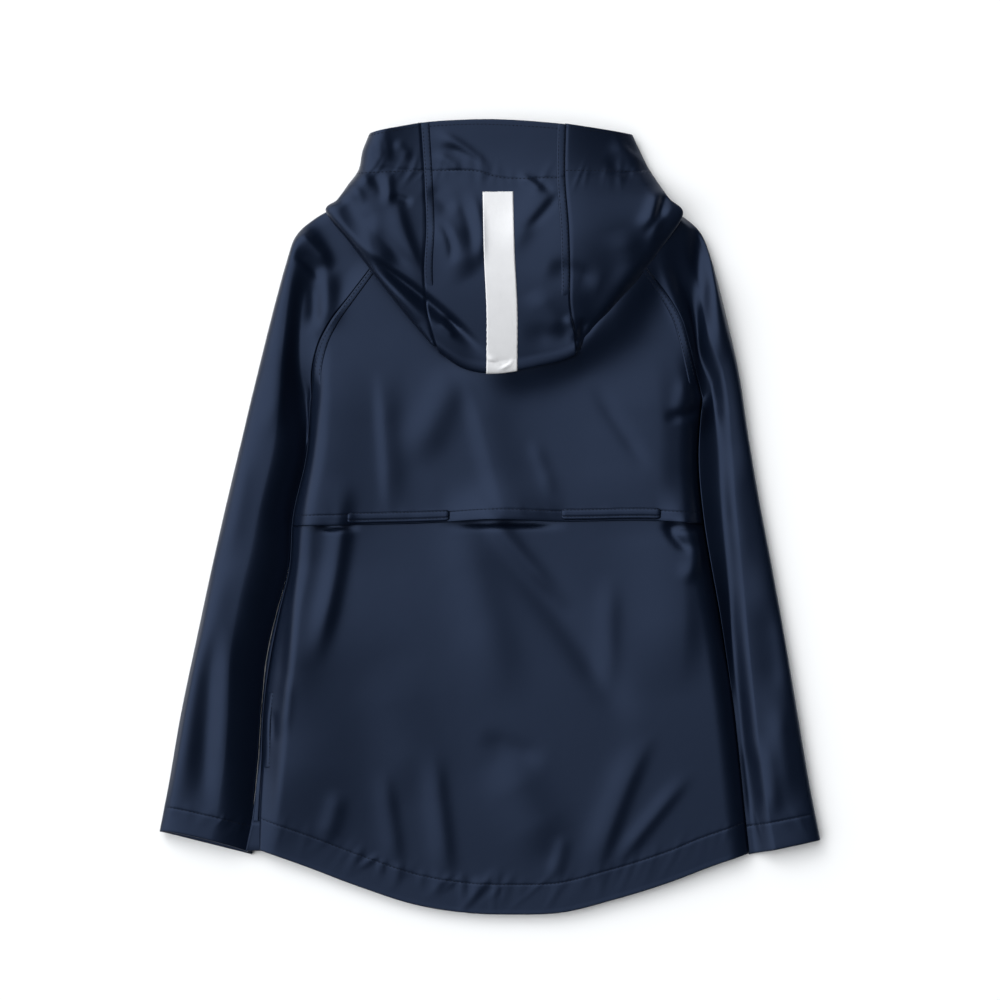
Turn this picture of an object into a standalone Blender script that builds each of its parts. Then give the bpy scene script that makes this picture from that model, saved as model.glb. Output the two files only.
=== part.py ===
"""A child's hooded raincoat in coated navy cloth, laid face down with its hood folded back.

Lengths are in millimetres in the tables and become metres when a mesh is made. X runs across the
coat, +Y runs from the hem to the hood, +Z is up, and z = 0 is the surface that the fronts lie on.
"""

import bpy
import numpy as np

MM = 0.001

# ---- driving sizes ---------------------------------------------------------------------------
WALL = 1.2  # coated cloth
SEAM_GAP = 0.3  # between two pieces sewn edge to edge
SIDE_GAP = 0.7  # between the fronts and the back, whose cut edges are turned to each other
CENTRE_X = 8.0  # centre front and centre back
ARMPIT_Y = 96.0
FRONT_HEM_Y = -265.0
BACK_TOP_Y = 62.0  # the lower back goes this far up under the cape
CAPE_RISE = 1.9  # the cape lies this far above the lower back
NECK_Y = 236.0

SLEEVE_GAP = 0.9  # the raglan seams, which open a little downwards
WELT_THICKNESS = 0.8  # felled seams and stitched tabs
HOOD_WELT_SHARE = 0.052  # of the middle panel's width
TAPE_WIDTH = 25.0  # reflective tape on the hood
TAPE_MIDDLE = {"y": [113, 162, 210, 259], "x": [9.5, 9.7, 7.5, 6.4]}
TAPE_THICKNESS = 0.5

PLACKET_WIDTH = 42.0
PLACKET_BASE = 1.2  # its outer face, above the stud caps
PLACKET_MARGIN = 2.0  # the fronts are level over the placket and this much beyond it
PLACKET_SLOPE = 15.0  # then they come down to the surface in this width
STUD_RADIUS = 6.5
STUD_CAP = 0.9
STUD_COUNT = 5

# ---- outlines: what the pieces are cut and laid to -------------------------------------------
# Sides of the body: widest points, the left side seam that shows, and the height of both seams.
BODY_SIDES = {
    "y": [-268, -240, -200, -150, -110, -75, -40, 0, 50, ARMPIT_Y],
    "left": [-197, -191, -186, -182.5, -178.5, -170.5, -161, -158, -147, -143],
    "left_seam": [-184, -183.6, -182, -180, -174.5, -167.5, -159.5, -156.8, -146, -142.6],
    "right": [207, 204, 200, 194.5, 189, 183.5, 177, 170.5, 166.5, 169.6],
}
LEFT_SEAM_Z = 6.5
LEFT_SEAM_LIFT = 2.7  # and this much more where the coat lies on the cuff
RIGHT_SEAM_Z = 5.0
FRONT_SEAM_DROP = 2.5  # the front's edge, below the back's
# Raglan seams, from the neck to the armpit.
RAGLAN = {
    "t": [0, 0.2, 0.4, 0.6, 0.75, 0.88, 1],
    "left_x": [-66, -89, -112, -129, -137.6, -142, -142.6],
    "left_y": [NECK_Y, 207, 177, 153.6, 136, 117, ARMPIT_Y],
    "right_x": [97, 119, 139.5, 153, 159.5, 164.5, 169.6],
    "right_y": [NECK_Y, 206, 180, 157.5, 136.8, 117, ARMPIT_Y],
}
BACK_HEM = {
    "x": [-184, -150, -105, -60, -20, 20, 57, 98, 146, 180, 207],
    "y": [-265, -277, -294, -308.5, -315, -316.5, -315, -305, -290, -277, -268],
}
CAPE_HEM = {
    "x": [-158, -90, -36, 10, 56, 132, 171],
    "y": [-6.5, -5.6, -4, -1.2, -2.9, -2.4, -4.5],
}
# Height of the laid body along its middle.
BODY_HEIGHT = {
    "y": [-318, -290, -240, -150, -50, 60, 130, 190, 240],
    "z": [8.6, 9.5, 12, 15, 15.5, 15.5, 14.5, 13, 12],
}
SIDE_SLOPE = 46.0  # how far in from a side seam the back is still rising

# Sleeves, a row for each section from the neck to the cuff: the outer fold, the y of the inner
# edge, the crest, the trough beside the body, and where crest and trough lie (0 outer, 1 inner).
SLEEVE_COLUMNS = ("t", "outer_x", "outer_y", "inner_y", "crest", "crest_at", "trough", "trough_at")
SLEEVE_LEFT = [
    (0.00, -88, 261, 236, 11.5, 0.45, 12.5, 0.80),
    (0.25, -113, 252, 200, 13.5, 0.40, 13.0, 0.75),
    (0.45, -138, 240, 170, 13.0, 0.32, 12.5, 0.70),
    (0.60, -154, 226, 153, 12.0, 0.22, 10.0, 0.50),
    (0.75, -162, 205, 136, 13.5, 0.22, 7.0, 0.52),
    (0.88, -173, 165, 117, 16.0, 0.27, 5.0, 0.66),
    (1.00, -186, 113, ARMPIT_Y, 18.0, 0.30, 4.2, 0.86),
    (1.25, -198, 63, 50, 19.0, 0.32, 3.4, 0.93),
    (1.50, -209, 17, 2, 20.0, 0.34, 3.4, 0.94),
    (1.80, -222, -40, -55, 20.0, 0.36, 3.4, 0.94),
    (2.10, -234, -96, -108, 19.0, 0.38, 3.4, 0.94),
    (2.45, -247, -158, -170, 17.5, 0.42, 3.4, 0.94),
    (2.75, -256, -210, -226, 16.0, 0.46, 3.4, 0.94),
    (3.00, -263.8, -250.5, -269, 14.5, 0.50, 3.4, 0.94),
]
SLEEVE_RIGHT = [
    (0.00, 116, 261, 236, 11.5, 0.45, 12.5, 0.80),
    (0.25, 135, 252, 200, 13.5, 0.40, 13.0, 0.75),
    (0.45, 155, 240, 174, 13.0, 0.35, 12.0, 0.70),
    (0.60, 168, 228, 157, 12.0, 0.40, 9.0, 0.72),
    (0.75, 176, 209, 137, 14.0, 0.45, 6.5, 0.80),
    (0.88, 184, 180, 117, 17.0, 0.50, 5.0, 0.84),
    (1.00, 195.5, 132, ARMPIT_Y, 18.5, 0.48, 4.2, 0.82),
    (1.25, 206, 68, 58, 19.5, 0.50, 3.4, 0.74),
    (1.50, 214, 20, 8, 20.0, 0.52, 3.4, 0.76),
    (1.80, 225, -38, -48, 20.0, 0.58, 3.4, 0.84),
    (2.10, 234.5, -90, -102, 19.5, 0.64, 3.4, 0.90),
    (2.45, 246, -158, -168, 18.0, 0.66, 3.4, 0.93),
    (2.75, 255.5, -214, -224, 16.0, 0.62, 3.4, 0.94),
    (3.00, 263.9, -257, -269, 14.5, 0.56, 3.4, 0.94),
]
SLEEVE_EDGE_Z = 3.2  # outer face of the upper layer where it is sewn to the lower one
SLEEVE_FOLD_Z = 6.0  # height of the outer fold's furthest point
SLEEVE_FOLD_RUN = 9.0  # how far in from it the lower layer touches the surface
CUFF_SETBACK = 3.6  # the left cuff's upper edge is laid back by this much
CUFF_TUCK = 7.0  # and its inner edge is this far under the coat, which is lifted over it
CUFF_LIFT = 5.4
BODY_CLEARANCE = 1.0  # sleeve to body, below the armpit

# Hood: the seams of its middle panel, its face opening (the rim) and its lower fold.
HOOD_SEAMS = {
    "y": [112, 131, 148, 167, 195, 230, 270, 316],
    "left": [-39, -41, -46, -50, -52, -50.5, -52, -55],
    "right": [70, 69, 67.5, 64, 63.5, 62.4, 59.7, 60.6],
}
HOOD_RIM = {
    "x": [-96, -56, -20, 5, 30, 50, 85, 114],
    "y": [305.8, 313.6, 316.2, 316.6, 315.4, 313.7, 310, 305.8],
}
HOOD_FOLD = {
    "x": [-54, -41, -23, -10, 5, 22, 39, 56, 66, 73, 84],
    "y": [147, 134, 120, 115.8, 115.2, 117.2, 120.5, 124.2, 127.8, 132, 145],
}
HOOD_RIDGE = {
    "y": [112, 135, 160, 190, 220, 250, 285, 317],
    "z": [26, 30, 33, 35, 35, 32, 28, 24.5],
}
HOOD_CLEARANCE = 1.2  # between the cape and the hood's under layer
HOOD_FOLD_RUN = 9.0
# Side panels, a row for each section from the rim to the lower fold: y on the middle panel's
# seam, the outer fold, the lower layer under it, and the neck edge that the section ends on.
HOOD_COLUMNS = ("seam_y", "edge_x", "edge_y", "under_z", "neck_x", "neck_y", "neck_z")
HOOD_LEFT = [
    (313.4, -96, 305.5, 0.0, 6, 258, 0.0),
    (298, -101.5, 291.5, 0.0, 6, 212, 0.0),
    (281, -104.5, 277, 0.0, -52, 238, 0.0),
    (263, -113, 264.5, 8.0, -80, 263.5, 5.0),
    (245, -121, 253, 17.0, -82, 262, 12.0),
    (226, -130, 243, 17.6, -76, 255, 15.0),
    (206, -110, 217, 17.2, -62, 243, 15.4),
    (186, -90, 190.7, 17.2, -53, 239, 15.6),
    (166, -70, 165.5, 17.4, -46, 237, 15.6),
    (150, -54, 146.5, 17.6, -42, 237, 15.6),
    (141, -48.2, 139.8, 17.8, -40.6, 237, 15.6),
    (136, -45, 136.4, 17.8, -40, 237, 15.6),
]
HOOD_RIGHT = [
    (312.6, 114, 305.8, 0.0, 10, 258, 0.0),
    (298, 119.5, 294, 0.0, 10, 212, 0.0),
    (281, 126.4, 280, 0.0, 74, 238, 0.0),
    (263, 135, 266, 8.0, 106, 263.5, 5.0),
    (245, 143, 254, 17.0, 110, 262, 12.0),
    (226, 153.6, 241, 17.6, 104, 255, 15.0),
    (206, 134, 211, 17.2, 92, 243, 15.4),
    (186, 119, 188.8, 17.2, 84, 239, 15.6),
    (166, 103, 169, 17.4, 78, 237, 15.6),
    (150, 88, 150.8, 17.6, 73, 237, 15.6),
    (141, 79.5, 139.8, 17.8, 71, 237, 15.6),
    (134.5, 74.4, 133.6, 17.8, 70, 237, 15.6),
]

# Stitched bars that hold the cape's hem down, and the felled end of the left side seam.
CAPE_BARS = {"left": (-113.0, -32.0), "right": (57.0, 136.0)}
CAPE_BAR_RISE = (1.5, 10.5)  # lower and upper edge, above the cape's hem
SIDE_WELT = {"y": (-200.0, -138.0), "inset": (1.2, 6.8)}


# ---- curves and surfaces ---------------------------------------------------------------------
def through(keys, values, at):
    """A cubic curve through a table's rows, read at the given keys."""
    keys = np.asarray(keys, float)
    values = np.asarray(values, float)
    if keys[0] > keys[-1]:
        keys, values = keys[::-1], values[::-1]
    slope = np.gradient(values, keys)
    at = np.clip(np.asarray(at, float), keys[0], keys[-1])
    i = np.clip(np.searchsorted(keys, at) - 1, 0, len(keys) - 2)
    span = keys[i + 1] - keys[i]
    t = (at - keys[i]) / span
    ahead = t * t * (3 - 2 * t)
    return (
        values[i] * (1 - ahead)
        + values[i + 1] * ahead
        + span * (t * (1 - t) ** 2 * slope[i] - t * t * (1 - t) * slope[i + 1])
    )


def ease(low, high, at):
    t = np.clip((at - low) / (high - low), 0, 1)
    return t * t * (3 - 2 * t)


def rounded(distance, run):
    """0 at a fold, rising as a quarter ellipse to 1 at the given run from it."""
    t = np.clip(distance / run, 0, 1)
    return np.sqrt(1 - (1 - t) ** 2)


def body_sides(y):
    """Left side seam and right side of the body at y, and the raglan seams above the armpit."""
    below = [through(BODY_SIDES["y"], BODY_SIDES[c], y) for c in ("left_seam", "right")]
    above = [
        through(RAGLAN[f"{side}_y"], RAGLAN[f"{side}_x"], y) for side in ("left", "right")
    ]
    return [np.where(y > ARMPIT_Y, a, b) for a, b in zip(above, below)]


def over_cuff(y):
    return ease(-180, -225, y)


def seam_height(side, y):
    """Outer face of the back where it meets the front."""
    return LEFT_SEAM_Z + LEFT_SEAM_LIFT * over_cuff(y) if side == "left" else RIGHT_SEAM_Z


def body_top(x, y):
    """Outer face of the lower back, which the cape, the sleeves and the hood lie on."""
    left, right = body_sides(y)
    height = through(BODY_HEIGHT["y"], BODY_HEIGHT["z"], y)
    drop = 1 - ease(ARMPIT_Y, ARMPIT_Y + 45, y)
    z = height
    for distance, side in ((x - left, "left"), (right - x, "right")):
        low = 1 - np.clip(distance / SIDE_SLOPE, 0, 1)
        z = z - drop * (height - seam_height(side, y)) * low**2.2
    return z


def cape_top(x, y):
    return body_top(x, y) + CAPE_RISE


def hood_ridge(x, y):
    """Outer face of the hood's middle panel, a little lower at its seams."""
    crown = ((x - CENTRE_X) / 62) ** 2
    return through(HOOD_RIDGE["y"], HOOD_RIDGE["z"], y) - 0.8 * crown


def hood_seam_top(side, y):
    """The same on a seam, and where it turns down over the lower fold."""
    foot = HOOD_SEAMS[side][0]
    fold = through(HOOD_FOLD["x"], HOOD_FOLD["y"], foot)
    if y > fold + HOOD_FOLD_RUN:
        return hood_ridge(through(HOOD_SEAMS["y"], HOOD_SEAMS[side], y), y)
    crest = hood_ridge(foot, fold + HOOD_FOLD_RUN)
    middle = (crest + cape_top(foot, fold) + HOOD_CLEARANCE) / 2
    return middle + (crest - middle) * rounded(y - fold, HOOD_FOLD_RUN)


# ---- making solids ---------------------------------------------------------------------------
def clear_scene():
    for obj in list(bpy.data.objects):
        bpy.data.objects.remove(obj)


def material(name, colour, roughness, metallic=0.0):
    made = bpy.data.materials.new(name)
    made.use_nodes = True
    shader = made.node_tree.nodes["Principled BSDF"]
    shader.inputs["Base Color"].default_value = (*colour, 1.0)
    shader.inputs["Roughness"].default_value = roughness
    shader.inputs["Metallic"].default_value = metallic
    return made


def cloth(name, grid, finish, wall=WALL, face_up=True):
    """A wall of cloth inside a grid of points on its outer face, through Blender's Solidify."""
    rows, columns = grid.shape[:2]
    faces = [
        (i * columns + j, i * columns + j + 1, (i + 1) * columns + j + 1, (i + 1) * columns + j)
        for i in range(rows - 1)
        for j in range(columns - 1)
    ]
    i = (rows - 1) // 2
    across = grid[i, 1] - grid[i, 0]
    along = grid[i + 1, 0] - grid[i, 0]
    if (np.cross(across, along)[2] > 0) != face_up:
        faces = [face[::-1] for face in faces]
    mesh = bpy.data.meshes.new(name)
    mesh.from_pydata((grid.reshape(-1, 3) * MM).tolist(), [], faces)
    mesh.materials.append(finish)
    mesh.shade_smooth()
    obj = bpy.data.objects.new(name, mesh)
    bpy.context.scene.collection.objects.link(obj)
    solid = obj.modifiers.new("wall", "SOLIDIFY")
    solid.thickness = wall * MM
    solid.offset = -1
    return obj


def raised(grid, by):
    """A grid moved straight up."""
    return grid + np.array([0, 0, by])


def grid_of(x, y, z):
    return np.stack(np.broadcast_arrays(x, y, z), axis=-1).astype(float)


# ---- body ------------------------------------------------------------------------------------
# Columns across the back, closer together where it falls to the side seams. The second and the
# last but one are also the free edges of the felled raglan seams.
BODY_COLUMNS = np.array([0, 0.018, 0.05, 0.09, 0.14, 0.22, 0.32, 0.44, 0.56, 0.68, 0.78, 0.86])
BODY_COLUMNS = np.append(BODY_COLUMNS, [0.91, 0.95, 0.982, 1.0])


def lower_back(finish):
    """From under the cape to the dropped, curved hem."""
    foot = BACK_HEM["x"][0] + (BACK_HEM["x"][-1] - BACK_HEM["x"][0]) * BODY_COLUMNS
    hem = through(BACK_HEM["x"], BACK_HEM["y"], foot)
    down = np.linspace(0, 1, 15)[:, None]
    y = BACK_TOP_Y + (hem - BACK_TOP_Y) * down
    left, right = body_sides(y)
    x = left + (right - left) * BODY_COLUMNS
    return cloth("lower_back", grid_of(x, y, body_top(x, y)), finish)


CAPE_ROWS_ABOVE = np.linspace(0, 1, 11)  # stations along the raglan seams, shared with the sleeves


def cape_grid():
    """Rows from the neck, station by station down the raglan seams, then down to its own hem."""
    rows = []
    for t in CAPE_ROWS_ABOVE:
        ends = raglan("left", t), raglan("right", t)
        x = ends[0][0] + SEAM_GAP + (ends[1][0] - ends[0][0] - 2 * SEAM_GAP) * BODY_COLUMNS
        y = ends[0][1] + (ends[1][1] - ends[0][1]) * BODY_COLUMNS
        scoop = 5 * (1 - ease(0, 0.3, t)) * np.sin(np.pi * BODY_COLUMNS)
        rows.append((x, y - scoop))
    armpit_y = rows[-1][1]
    for down in (0.2, 0.4, 0.6, 0.8, 0.93, 1.0):
        low = through(CAPE_HEM["x"], CAPE_HEM["y"], rows[-1][0])
        y = armpit_y + (low - armpit_y) * down
        left, right = body_sides(y)
        x = left + (right - left) * BODY_COLUMNS
        rows.append((x, y))
    return np.stack([grid_of(x, y, cape_top(x, y)) for x, y in rows])


def raglan(side, t):
    return np.array(
        [through(RAGLAN["t"], RAGLAN[f"{side}_{axis}"], t) for axis in ("x", "y")]
    )


def front_base(x, y, side):
    """Outer face of a front: flat on the surface, lifted over the placket and over the left cuff."""
    over_placket = PLACKET_BASE + WALL + 0.4
    level = PLACKET_WIDTH / 2 + PLACKET_MARGIN
    z = over_placket * (1 - ease(level, level + PLACKET_SLOPE, np.abs(x - CENTRE_X)))
    if side == "left":
        z = z + CUFF_LIFT * ease(-160, -178, x) * over_cuff(y)
    return z


def front(side, finish):
    """From the centre front to the side seam, which it rounds the edge to reach."""
    sign = -1 if side == "left" else 1
    level = PLACKET_WIDTH / 2 + PLACKET_MARGIN
    over_placket = level + PLACKET_SLOPE * np.array([0, 0.5, 1])
    turn = np.linspace(0, 1, 6)[1:]
    rows = []
    stations = [("raglan", t) for t in np.linspace(0, 1, 9)]
    stations += [("side", y) for y in np.linspace(ARMPIT_Y, FRONT_HEM_Y, 15)[1:]]
    for kind, value in stations:
        if kind == "raglan":
            edge, edge_y = raglan(side, value)
            edge = edge - sign * SEAM_GAP
            turned = ease(0.7, 1.0, value)
            seam_x, seam_z = edge, 4.0 * turned
            centre_y = edge_y - 28 * (1 - ease(0, 0.5, value))
            bend = 6.1
        else:
            edge_y = centre_y = value
            edge = through(BODY_SIDES["y"], BODY_SIDES[side], value)
            seam = BODY_SIDES["left_seam"] if side == "left" else BODY_SIDES["right"]
            seam_x = through(BODY_SIDES["y"], seam, value) + sign * SIDE_GAP
            seam_z = seam_height(side, value) - FRONT_SEAM_DROP
            edge = edge + sign * 0.4
            bend = 6.1
            turned = 1.0
        inner = edge - sign * bend
        start = CENTRE_X + sign * SEAM_GAP
        beyond = np.linspace(CENTRE_X + sign * over_placket[-1], inner, 5)[1:]
        x_flat = np.concatenate([[start], CENTRE_X + sign * over_placket, beyond])
        y_flat = centre_y + (edge_y - centre_y) * (x_flat - start) / (inner - start)
        z_flat = front_base(x_flat, y_flat, side)
        base = z_flat[-1]
        # Round the side: a cubic from flat on the surface to the seam on top.
        third = inner + (edge - inner) / 3
        two_thirds = inner + (edge - inner) * 2 / 3
        x_points = (
            inner,
            third + (edge + sign * 0.5 - third) * turned,
            two_thirds + (edge - two_thirds) * turned,
            seam_x,
        )
        z_points = base, base, base + 0.5 * seam_z, base + seam_z if kind == "raglan" else seam_z
        if kind == "side" and base > 0.5:
            z_points = base, base, max(base, 0.5 * seam_z), max(seam_z, base + 0.4)
        weight = [(1 - turn) ** 3, 3 * turn * (1 - turn) ** 2, 3 * turn**2 * (1 - turn), turn**3]
        x_turn = sum(w * p for w, p in zip(weight, x_points))
        z_turn = sum(w * p for w, p in zip(weight, z_points))
        rows.append(
            grid_of(
                np.append(x_flat, x_turn),
                np.append(y_flat, np.full(len(turn), edge_y)),
                np.append(z_flat, z_turn),
            )
        )
    return cloth(f"front_{side}", np.stack(rows), finish, face_up=False)


def placket(finish):
    """The fly strip over the centre front, outermost, so it lies lowest."""
    y = np.linspace(FRONT_HEM_Y + 1, 203, 12)[:, None]
    x = CENTRE_X + PLACKET_WIDTH * (np.linspace(0, 1, 4) - 0.5)
    return cloth("front_placket", grid_of(x, y, PLACKET_BASE), finish, face_up=False)


def studs(finish):
    """Press-stud caps along the placket, each a bevelled disc flush with the resting surface."""
    for n, y in enumerate(np.linspace(180, FRONT_HEM_Y + 45, STUD_COUNT), start=1):
        bpy.ops.mesh.primitive_cylinder_add(
            vertices=16,
            radius=STUD_RADIUS * MM,
            depth=STUD_CAP * MM,
            location=(CENTRE_X * MM, y * MM, STUD_CAP / 2 * MM),
        )
        cap = bpy.context.object
        cap.name = f"press_stud_{n}"
        cap.data.materials.append(finish)
        bevel = cap.modifiers.new("rolled rim", "BEVEL")
        bevel.width = 0.25 * MM
        bevel.segments = 1
        bevel.limit_method = "ANGLE"


# ---- sleeves ---------------------------------------------------------------------------------
def sleeve_section(side, t):
    """One section, from the back edge over the crest, round the outer fold and back underneath."""
    table = np.array(SLEEVE_LEFT if side == "left" else SLEEVE_RIGHT, float).T
    row = {
        name: float(through(table[0], column, t)) for name, column in zip(SLEEVE_COLUMNS, table)
    }
    sign = -1 if side == "left" else 1
    if t <= 1:
        inner = raglan(side, t) + [sign * SLEEVE_GAP, 0]
        edge_z = float(cape_top(*raglan(side, t)))
        under_z = 4.0 * float(ease(0.7, 1.0, t))
    else:
        y = row["inner_y"]
        limit = through(BODY_SIDES["y"], BODY_SIDES[side], y) + sign * BODY_CLEARANCE
        if side == "left":
            limit = limit + CUFF_TUCK * float(ease(-222, -266, y))
        inner = np.array([limit, y])
        edge_z = SLEEVE_EDGE_Z + (float(cape_top(*raglan(side, 1))) - SLEEVE_EDGE_Z) * (
            1 - float(ease(1, 1.25, t))
        )
        under_z = 4.0 * (1 - float(ease(1, 1.25, t)))
    outer = np.array([row["outer_x"], row["outer_y"]])
    fold_z = min(SLEEVE_FOLD_Z, row["crest"] / 2)

    # Upper layer, listed from the back edge (share 1) to the outer fold (share 0).
    share = np.concatenate([np.linspace(1, row["crest_at"], 8), row["crest_at"] * FOLD_SHARES])
    keys = [row["crest_at"], row["trough_at"], 1.0]
    heights = [row["crest"], row["trough"], edge_z]
    falling = through(keys, heights, share)
    rising = fold_z + (row["crest"] - fold_z) * rounded(share, row["crest_at"])
    upper_z = np.where(share >= row["crest_at"], falling, rising)
    upper = inner + (outer - inner) * (1 - share)[:, None]

    # Lower layer, from the outer fold to the front edge.
    width = float(np.linalg.norm(outer - inner))
    lower_share = np.concatenate(
        [np.array([0.18, 0.45, 1.0]) * SLEEVE_FOLD_RUN / width, [0.5, 0.88, 1.0]]
    )
    lower_z = fold_z * (1 - rounded(lower_share * width, SLEEVE_FOLD_RUN))
    lower_z[-1] += under_z
    lower = outer + (inner - outer) * lower_share[:, None]
    if side == "left" and t > 2.75:
        setback = CUFF_SETBACK * (t - 2.75) / 0.25 * np.sin(np.pi * (1 - share)) ** 0.5
        upper = upper + setback[:, None] * [0.2, 1.0]
    return np.concatenate(
        [np.column_stack([upper, upper_z]), np.column_stack([lower, lower_z])]
    )


FOLD_SHARES = np.array([0.6, 0.3, 0.1, 0.0])
SLEEVE_STATIONS = np.concatenate([CAPE_ROWS_ABOVE, np.linspace(1, 3, 13)[1:]])


def sleeve(side, finish):
    """One piece, folded round, its two long edges meeting under the arm."""
    grid = np.stack([sleeve_section(side, t) for t in SLEEVE_STATIONS])
    return cloth(f"sleeve_{side}", grid, finish)


# ---- hood ------------------------------------------------------------------------------------
def hood_middle_grid():
    """Rows from the rim down to the lower fold, round it, and back underneath to the neck."""
    seam_share = np.array([0.0, HOOD_WELT_SHARE, 0.2])
    columns = np.concatenate([seam_share, [0.4, 0.5, 0.6], 1 - seam_share[::-1]])
    tape = slice(3, 6)  # the columns that follow the tape's edges and middle
    rim_left = through(HOOD_SEAMS["y"], HOOD_SEAMS["left"], 316)
    rim_right = through(HOOD_SEAMS["y"], HOOD_SEAMS["right"], 316)
    foot_left, foot_right = HOOD_SEAMS["left"][0], HOOD_SEAMS["right"][0]
    rim = through(HOOD_RIM["x"], HOOD_RIM["y"], rim_left + (rim_right - rim_left) * columns)
    fold = through(HOOD_FOLD["x"], HOOD_FOLD["y"], foot_left + (foot_right - foot_left) * columns)
    rows = []

    def across(y):
        left = through(HOOD_SEAMS["y"], HOOD_SEAMS["left"], y)
        right = through(HOOD_SEAMS["y"], HOOD_SEAMS["right"], y)
        x = left + SEAM_GAP + (right - left - 2 * SEAM_GAP) * columns
        middle = through(TAPE_MIDDLE["y"], TAPE_MIDDLE["x"], y[tape])
        x[tape] = middle + TAPE_WIDTH / 2 * np.array([-1, 0, 1])
        return x

    fold_x = across(fold)
    under = cape_top(fold_x, fold) + HOOD_CLEARANCE
    crest = hood_ridge(fold_x, fold + HOOD_FOLD_RUN)
    fold_z = (under + crest) / 2
    for share in np.linspace(0, 1, 12):
        y = rim + (fold + HOOD_FOLD_RUN - rim) * share
        x = across(y)
        rows.append(grid_of(x, y, hood_ridge(x, y)))
    for angle in np.radians([65, 40, 18, 0]):
        y = fold + HOOD_FOLD_RUN * (1 - np.cos(angle))
        rows.append(grid_of(across(y), y, fold_z + (crest - fold_z) * np.sin(angle)))
    for angle in np.radians([20, 45, 70, 90]):
        y = fold + HOOD_FOLD_RUN * (1 - np.cos(angle))
        x = across(y)
        low = cape_top(x, y) + HOOD_CLEARANCE
        rows.append(grid_of(x, y, fold_z + (low - fold_z) * np.sin(angle)))
    for share in np.linspace(0, 1, 7)[1:]:
        y = fold + HOOD_FOLD_RUN + (NECK_Y + 1 - fold - HOOD_FOLD_RUN) * share
        x = across(y) + 0 * y
        narrow = 1 - 0.36 * share**0.7
        x = CENTRE_X + (x - CENTRE_X) * narrow
        rows.append(grid_of(x, y, cape_top(x, y) + HOOD_CLEARANCE))
    return np.stack(rows)


def hood_side_section(side, row):
    """One section: over the top from the middle panel's seam, round the edge, under to the neck."""
    sign = -1 if side == "left" else 1
    seam_x = through(HOOD_SEAMS["y"], HOOD_SEAMS[side], row["seam_y"])
    top_z = hood_seam_top(side, row["seam_y"])
    start = np.array([seam_x + sign * SEAM_GAP, row["seam_y"]])
    edge = np.array([row["edge_x"], row["edge_y"]])
    neck = np.array([row["neck_x"], row["neck_y"]])
    width = float(np.linalg.norm(edge - start))
    run = min(HOOD_FOLD_RUN + 0.25 * (top_z - row["under_z"]), 0.95 * width)
    near = top_z - 0.12 * (top_z - row["under_z"])  # a little lower before it turns over
    fold_z = (near + row["under_z"]) / 2
    level = np.linspace(0, 1 - run / width, 6)
    turned = 1 - run / width * (1 - np.cos(np.radians([62, 38, 18, 0])))
    share = np.concatenate([level, turned])  # 0 at the seam, 1 at the edge
    flat_z = top_z - (top_z - near) * share**2
    upper_z = fold_z + (flat_z - fold_z) * rounded((1 - share) * width, run)
    upper = start + (edge - start) * share[:, None]
    reach = float(np.linalg.norm(neck - edge))
    lower_share = np.concatenate(
        [min(run, 0.7 * reach) / reach * (1 - np.cos(np.radians([25, 55, 90]))), [0.8, 1.0]]
    )
    floor = row["under_z"] + (row["neck_z"] - row["under_z"]) * lower_share
    lower_z = fold_z + (floor - fold_z) * rounded(lower_share * reach, min(run, 0.7 * reach))
    lower = edge + (neck - edge) * lower_share[:, None]
    return np.concatenate(
        [np.column_stack([upper, upper_z]), np.column_stack([lower, lower_z])]
    )


def hood_side(side, finish):
    table = HOOD_LEFT if side == "left" else HOOD_RIGHT
    grid = [hood_side_section(side, dict(zip(HOOD_COLUMNS, values))) for values in table]
    return cloth(f"hood_{side}", np.stack(grid), finish)


# ---- what is sewn on top ---------------------------------------------------------------------
def raglan_welt(side, cape, finish):
    """The felled seam on the cape's edge."""
    edge = cape[: len(CAPE_ROWS_ABOVE), :2] if side == "left" else cape[: len(CAPE_ROWS_ABOVE), -2:]
    return cloth(f"raglan_welt_{side}", raised(edge, WELT_THICKNESS + 0.3), finish, WELT_THICKNESS)


def hood_welt(side, middle, finish):
    """The felled seam on the hood's middle panel, down to its lower fold."""
    rows = middle[1:12]
    edge = rows[:, :2] if side == "left" else rows[:, -2:]
    return cloth(f"hood_welt_{side}", raised(edge, WELT_THICKNESS + 0.3), finish, WELT_THICKNESS)


def reflective_tape(middle, finish):
    """Down the middle of the hood and just round its lower fold."""
    rows = middle[3:16, 3:6].copy()
    rows[:, :, 2] += TAPE_THICKNESS + 0.3
    rows[-4:, :, 1] -= (TAPE_THICKNESS + 0.3) * np.array([0.4, 0.8, 1, 1])[:, None]
    return cloth("reflective_tape", rows, finish, TAPE_THICKNESS)


def cape_bar(side, finish):
    """A long tab stitched flat across the cape's hem, which holds it to the lower back."""
    x = np.linspace(*CAPE_BARS[side], 7)
    hem = through(CAPE_HEM["x"], CAPE_HEM["y"], x)
    y = hem + np.array(CAPE_BAR_RISE)[:, None]
    z = cape_top(x, y) + 0.6 + WELT_THICKNESS
    return cloth(f"cape_bar_{side}", grid_of(x, y, z), finish, WELT_THICKNESS)


def side_welt(finish):
    """The felled stretch at the foot of the left side seam."""
    y = np.linspace(*SIDE_WELT["y"], 6)[:, None]
    left, _ = body_sides(y)
    x = left + np.array(SIDE_WELT["inset"])
    z = body_top(x, y) + 0.6 + WELT_THICKNESS
    return cloth("side_welt_left", grid_of(x, y, z), finish, WELT_THICKNESS)


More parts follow.
